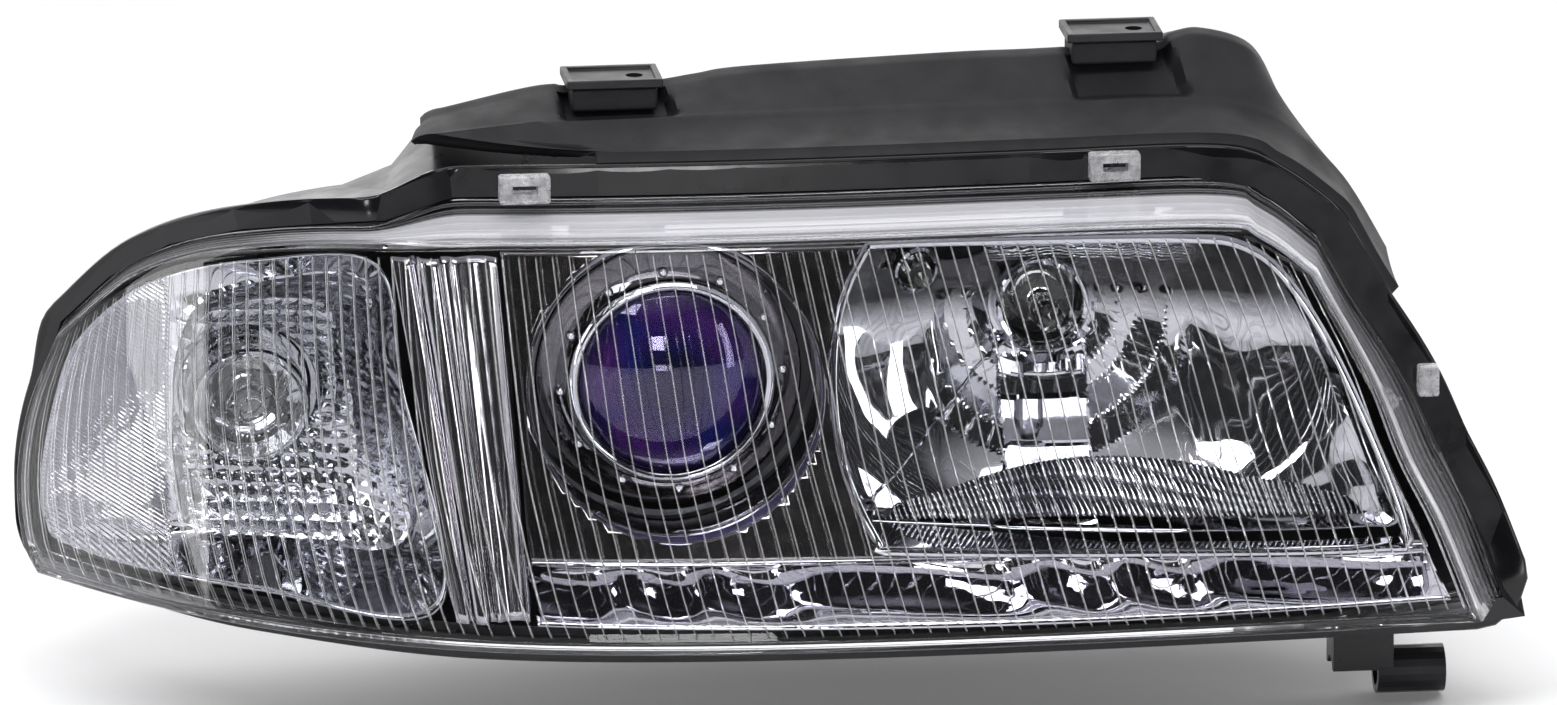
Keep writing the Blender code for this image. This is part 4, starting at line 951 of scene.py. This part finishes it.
def high_beam():
    count, rings = 400, 72
    rim = moved(loop_of(HIGH_OPENING, count, high_rim), 2.3)
    turns = [math.atan2(p.z - HIGH_AXIS[1], p.x - HIGH_AXIS[0]) for p in rim]
    mouth = [Vector((HIGH_AXIS[0] + 16.5 * math.cos(a), 46, HIGH_AXIS[1] + 16.5 * math.sin(a))) for a in turns]
    loops = [rim]
    for k in range(1, rings):
        t = k / rings
        loop = []
        for p, q in zip(rim, mouth):
            r = p.lerp(q, t)
            bowl, edge = high_depth(r.x, r.z), high_rim(r.x, r.z) + 4 * ease(t / 0.06)
            soft = 7.0 * ease((t - 0.01) / 0.05)
            base = (bowl + edge + math.hypot(bowl - edge, soft)) / 2
            loop.append(Vector((r.x, base - facets(r.x, r.z, 1 - t), r.z)))
        loops.append(loop)
    loops += [mouth, moved(mouth, 0, 9)]
    shell = piece("high_beam_dish", "beam_unit", ["high_beam_reflector"],
                  flat_list(loops), bands(loops), [dish_mirror()], sharp=18)
    thick(shell, 1.2, 1)
    carve(shell, cutter("parking_hole", [circle(PARKING, 7.5, y, 48) for y in (-20, 90)]))
    ribbed_floor()
    sleeve = [(16.4, 40), (17.8, 39.4), (18.6, 40.2), (18.6, 67), (17.2, 67)]
    hood = [circle(HIGH_AXIS, radius, y, 96) for radius, y in sleeve]
    hoop("bulb_hood", "beam_unit", [], hood, CHROME)
    ring = []
    for radius, back in ((7.4, 3.0), (7.4, -0.6), (8.2, -1.2), (9.2, -0.4), (9.4, 3.0)):
        ring.append(circle(PARKING, radius, lambda x, z: high_depth(x, z) + back, 60))
    hoop("parking_ring", "beam_unit", [], ring, CHROME)


def ribbed_floor():
    """The shelf at the foot of the dish, highest in the middle, with a rib every 2.2 mm."""
    rows = []
    for j in range(25):
        t = j / 24
        row = []
        for i in range(601):
            u = i / 600
            x = 86 + 187 * u
            back = math.sin(math.pi * min(max((u + 0.02) / 1.04, 0), 1)) ** 0.7
            z = -61.8 + t * (1.5 + 17.5 * back)
            rib = 0.32 * math.cos(2 * math.pi * (x + 14 * t) / 2.2)
            y = max(high_rim(x, z) - 1.0 + 2.0 * t, high_depth(x, z) - 4.5 - 2 * (1 - t))
            row.append(Vector((x + 8 * t * (0.5 - u), y - rib, z + rib)))
        rows.append(row)
    sheet("ribbed_floor", "beam_unit", [], rows, ribbed_mirror(), 0.8, 75)


# ---- indicator

def pillows(x, z):
    """Height of the indicator mirror's pillows, each a little different."""
    u, v = x / 6.6 + 0.15 * math.sin(z / 9), z / 5.6
    a, b = 2 * (u - math.floor(u)) - 1, 2 * (v - math.floor(v)) - 1
    wobble = 0.5 + 0.5 * noise.noise(Vector((math.floor(u) * 1.7, math.floor(v) * 2.3, 0.5)))
    return (0.5 + 0.9 * wobble) * (1 - a * a) * (1 - b * b) + 0.5 * wobble


def indicator_mirror():
    """Mirror, with fine slanted ribs on its outer wing."""
    mat, shader = start("indicator_mirror", Metallic=1.0)
    tint(mat, shader, 14, 4, [(0.35, (0.42, 0.42, 0.46)), (0.65, (0.54, 0.54, 0.58))])
    haze(mat, shader, 160, 5, (0.02, 0.06))
    edge = LAMP.x + (INDICATOR_AXIS[0] - 30) * MM
    wing = span(mat, axes(mat)[0], 1.0, 0.0, edge - 0.003, edge)
    ribs = wave(mat, "Z", (0, -0.5, 0), Scale=200.0, Distortion=0.6, Detail=1.0)
    bump(mat, shader, maths(mat, "MULTIPLY", ribs, wing), 0.8, 0.0006)
    return mat


def indicator():
    x, z = INDICATOR_AXIS
    count = 320
    rim = loop_of(INDICATOR_RIM, count, lambda a, b: front(a, b) + 10)
    field = loop_of(INDICATOR_FIELD, count, lambda a, b: max(front(a, b) + 14, 42 - 0.3 * (a + 150) - 0.05 * b))
    turns = [math.atan2(p.z - z, p.x - x) for p in field]
    floor = [Vector((x + 29 * math.cos(a), 68, z + 27 * math.sin(a))) for a in turns]
    dish = [p.lerp(q, 0.5) + Vector((0, 6, 0)) for p, q in zip(field, floor)]
    hole = [Vector((x + 14 * math.cos(a), 74, z + 14 * math.sin(a))) for a in turns]
    loops = []
    runs = ((rim, field, 14, False), (field, dish, 26, True), (dish, floor, 22, True), (floor, hole, 6, False))
    for near, far, steps, bumpy in runs:
        for k in range(steps):
            loop = []
            for p, q in zip(near, far):
                r = p.lerp(q, k / steps)
                if bumpy:
                    r.y -= pillows(r.x, r.z)
                loop.append(r)
            loops.append(loop)
    loops += [hole, moved(hole, 0, 6)]
    shell = piece("indicator_dish", "housing", ["indicator_reflector"],
                  flat_list(loops), bands(loops), [indicator_mirror()], sharp=20)
    thick(shell, 1.0, 1)
    outside = rounded([
        (0, 39.3), (20.2, 40.4), (21.6, 42.8), (21.6, 64.8), (23.4, 64.8), (23.4, 42.0), (21.0, 38.6), (16, 38.5),
    ], 0.4)
    stepped = [
        (15.6, 37.2), (11.2, 37.1), (10.8, 38.0), (10.2, 38.0), (9.8, 36.8), (5.8, 36.4), (5.4, 37.0), (4.9, 37.0),
        (4.5, 36.2), (0, 36.1),
    ]
    cap = list(reversed(outside + stepped))
    lathe("indicator_cap", "housing", ["indicator_bulb_cap"], INDICATOR_AXIS, cap, GLASS)


# ---- pillars

# Across the mirror pillars: share of their width, and how far they stand behind the lens face
PILLARS = [
    (0.0, 6.2), (0.16, 5.2), (0.19, 8.8), (0.22, 8.8), (0.27, 5.4), (0.36, 4.6), (0.44, 5.6), (0.48, 9.6), (0.55, 9.8),
    (0.6, 8.8), (0.76, 12.2), (0.9, 12.6), (1.0, 10.4),
]


def pillars():
    width = 30
    profile = curve([(share * width, back, 0) for share, back in PILLARS], 90)
    rows = []
    for step in range(41):
        t = step / 40
        z = -88 + 138 * t
        left, right = -87 - 21 * t, -59 - 9 * t
        row = []
        for p in profile:
            x = left + (right - left) * p.x / width
            row.append(Vector((x, front(x, z) + p.y, z)))
        rows.append(row)
    sheet("pillars", "housing", ["divider"], rows, PILLAR, 1.5, 50)


# ---- housing, cover and clip nuts

# The tops of the mounting pads, and two lines along the cover: its front crease and its crest
PADS = {"inner": (185.0, 85.0, 115.0), "outer": (-14.0, 77.0, 104.0)}
CREASE = [
    (-95, 86), (-49, 90), (-35, 90), (41, 91), (149, 92), (208, 92), (238, 87), (255, 77), (274, 58), (291, 29),
]
CREST = [
    (-95, 87), (-49, 95.5), (-33, 97), (-10, 97.2), (5, 97.4), (20, 99.5), (41, 102), (120, 105), (155, 105.5),
    (200, 107), (208, 110), (220, 112), (240, 105), (251, 86), (259, 66), (272, 40),
]
# The cover's front lip follows the flange from this share of the inner end to this share of the top
COVER_FROM, COVER_TO = 0.8, 10 / 18


def rear_edge(foot):
    """The edge of the housing's rear wall, which stands lower and further forward behind the indicator."""
    edge = []
    for p in foot:
        x = -208 + (p.x + 243) * 498 / 576
        z = -88 + (p.z + 102) * 160 / 170
        share = ease((-66 - x) / 40)
        if z > 0:
            z *= 1 - 0.28 * share
        edge.append(Vector((x, 160 - 30 * share, z)))
    return edge


def eased(loop, times):
    """The loop with its corners worn round."""
    for _ in range(times):
        loop = [(loop[k - 1] + p * 2 + loop[(k + 1) % len(loop)]) / 4 for k, p in enumerate(loop)]
    return loop


def housing_shell(foot, widths):
    """Smooth skins over the housing's flange and walls."""
    wide, narrow = [w + 0.3 for w in widths], [w - 0.8 for w in widths]
    lip = [moved(foot, 1.9, -0.3), moved(foot, narrow, -0.3), moved(foot, wide, 0.5), moved(foot, wide, 2.0),
           moved(foot, narrow, 2.85), moved(foot, 1.9, 2.85)]
    lip = [eased(loop, 1) for loop in lip]
    hoop("flange_rim", "housing", [], lip, GLOSS, sharp=55)
    rim = rear_edge(foot)
    start_loop = moved(foot, -6, 7)
    spread = moved(foot, 2.0)
    middle = [a.lerp(b, 0.5) + (c - d) for a, b, c, d in zip(start_loop, rim, spread, foot)]
    near = moved(rim, 3, -9)
    loops = []
    for a, b, steps in ((start_loop, middle, 6), (middle, near, 6), (near, rim, 2)):
        for k in range(steps):
            loops.append(moved([p.lerp(q, k / steps) for p, q in zip(a, b)], 2.9))
    loops += [moved(rim, 2.9), moved(rim, 2.4, 2.2), moved(rim, 1.0, 2.9), moved(rim, -3.0, 2.9)]
    skin = hoop("wall_skin", "housing", [], loops, HOUSING, ring=False, sharp=50)
    thick(skin, 0.3)


# Depth of the cover's pockets
POCKET = 6.0


def pocket(x, t):
    """How deep the cover is let in under each pad: steep at the outer end, sloping at the inner one."""
    deep = 0.0
    for low, high, slope in ((-36.0, 7.0, 5.0), (166.0, 208.0, 7.0)):
        deep = max(deep, ease((x - low) / 3.5) * ease((high + slope * (1 - t) - x) / 4.0))
    return POCKET * deep * ease(t / 0.14)


def cover_shell(foot, widths):
    """The grained cover: front lip, hollow band, ridge, and the hump with its two pockets."""
    columns = 240
    first = ACROSS + round(UP * COVER_FROM)
    last = ACROSS + UP + round(ACROSS * COVER_TO) + 1
    lines = []
    for out, back in ((-4, 3.2), (0.5, 3.2), (4, 6)):
        band = moved(foot, [width + out for width in widths], back)[first:last]
        lines.append(curve(list(reversed(band)), columns))
    ridges = ((CREASE, 56, 0, 0), (CREST, 78, 0, 6), (CREST, 84, 1.5, 6.5), (CREST, 132, -12, 12))
    for outline, y, lift, end in ridges:
        line = curve([(x, 0, z) for x, z in outline], columns)
        lines.append([Vector((p.x + end * ease((-40 - p.x) / 55), y, p.z + lift)) for p in line])
    fold = [p.lerp(q, 0.5) + Vector((0, 0.4, -0.2)) for p, q in zip(lines[1], lines[2])]
    rows = [lines[0], lines[1], fold, lines[2]]
    lip_rows = len(rows)
    for k in range(1, 12):
        t = k / 12
        sag = Vector((0, 1.2, -1.6)) * math.sin(math.pi * t)
        rows.append([p.lerp(q, t) + sag for p, q in zip(lines[2], lines[3])])
    rows.append([p + Vector((0, -0.3, 0.1)) for p in lines[3]])
    for k in range(1, 24):
        t = k / 24
        row = []
        arch = math.sin(math.pi * t)
        for p, q in zip(lines[3], lines[4]):
            r = p.lerp(q, t)
            deep = pocket(r.x, t)
            row.append(r + Vector((0, deep + 1.5 * arch, 0.7 * arch - 0.55 * deep)))
        rows.append(row)
    for a, b, steps in ((lines[4], lines[5], 3), (lines[5], lines[6], 12)):
        for k in range(steps):
            t = k / steps
            row = []
            for p, q in zip(a, b):
                dip = 0.8 * ease(pocket(p.x, 1) / POCKET) * (1 - t)
                row.append(p.lerp(q, t) - Vector((0, 0, dip)))
            rows.append(row)
    rows.append(lines[6])
    for row in rows[lip_rows:]:
        for i in range(5):
            droop = 4.5 * (1 - math.sqrt(1 - ((5 - i) / 5.2) ** 2))
            row[i] = row[i] + Vector((0, 0.8 * (5 - i), -droop))
    sheet("cover_shell", "housing", ["top_cover"], rows, COVER, 2.3, 40)


def pads():
    """At each upper mount, a seat and on it a clip nut, with the screw's hole beside the nut's middle."""
    for tag, (x, y, z) in PADS.items():
        block("pad_seat_" + tag, (x - 17, y - 11, z - 13), (x + 17, y + 11, z - 3.9), [], COVER, 1.2)
        nut = block("clip_nut_shell_" + tag, (x - 19, y - 13, z - 3.6), (x + 19, y + 13, z),
                    ["clip_nut_" + tag], NUT, 0.6, 1.3)
        hole = [Vector((x + 9 + p.x, y + p.z, 0)) for p in circle((0, 0), 3.4, 0, 40)]
        carve(nut, cutter("nut_bore", [[p + Vector((0, 0, z + rise)) for p in hole] for rise in (10, -10)]))


def block(name, low, high, nodes, mat, bevel, recess=0.0):
    """A moulded block with rounded edges and, with a recess, a tray let into its top."""

    def level(z, inset):
        near, far = (low[0] + inset, low[1] + inset), (high[0] - inset, high[1] - inset)
        return [(near[0], near[1], z), (far[0], near[1], z), (far[0], far[1], z), (near[0], far[1], z)]

    verts = level(low[2], 0) + level(high[2], 0)
    faces = [(3, 2, 1, 0), (0, 1, 5, 4), (1, 2, 6, 5), (2, 3, 7, 6), (3, 0, 4, 7)]
    if recess:
        verts += level(high[2], 2.6) + level(high[2] - recess, 2.6)
        for k in range(4):
            n = (k + 1) % 4
            faces += [(4 + k, 4 + n, 8 + n, 8 + k), (8 + k, 8 + n, 12 + n, 12 + k)]
        faces.append((12, 13, 14, 15))
    else:
        faces.append((4, 5, 6, 7))
    obj = piece(name, "housing", nodes, verts, faces, [mat])
    soften = obj.modifiers.new("soften", "BEVEL")
    soften.width = bevel * MM
    soften.segments = 3
    return obj


# ---- the lamp

foot, widths = lens()
bezel()
projector()
high_beam()
indicator()
pillars()
housing_shell(foot, widths)
cover_shell(foot, widths)
pads()
dress(CHROME, "projector_bowl")
dress(ZINC, "cutoff_shutter", "projector_screw_1", "projector_screw_2", "projector_screw_3", "pivot_stud",
      "pivot_nut", "low_bulb_clip", "high_bulb_clip", "cover_hinge_pin", "rear_bail")
dress(CAST, "projector_tube")
dress(HOUSING, "housing", "levelling_motor", "low_beam_cover", "high_beam_cap", "wiring_socket")
dress(RUBBER, "lens_seal", "foot_bush", "low_beam_plug", "high_beam_plug", "parking_holder", "cover_seal",
      "vent_cap_inner", "vent_cap_outer")
dress(GREY, "carrier_frame", "indicator_holder")
dress(WHITE, "ball_cup", "levelling_rod", "level_adjuster", "aim_adjuster")
dress(FROSTED, "lens_clip_outer", "lens_clip_inner", "lens_clip_side")
dress(GLASS, "low_beam_bulb", "high_beam_bulb", "parking_bulb", "indicator_bulb")
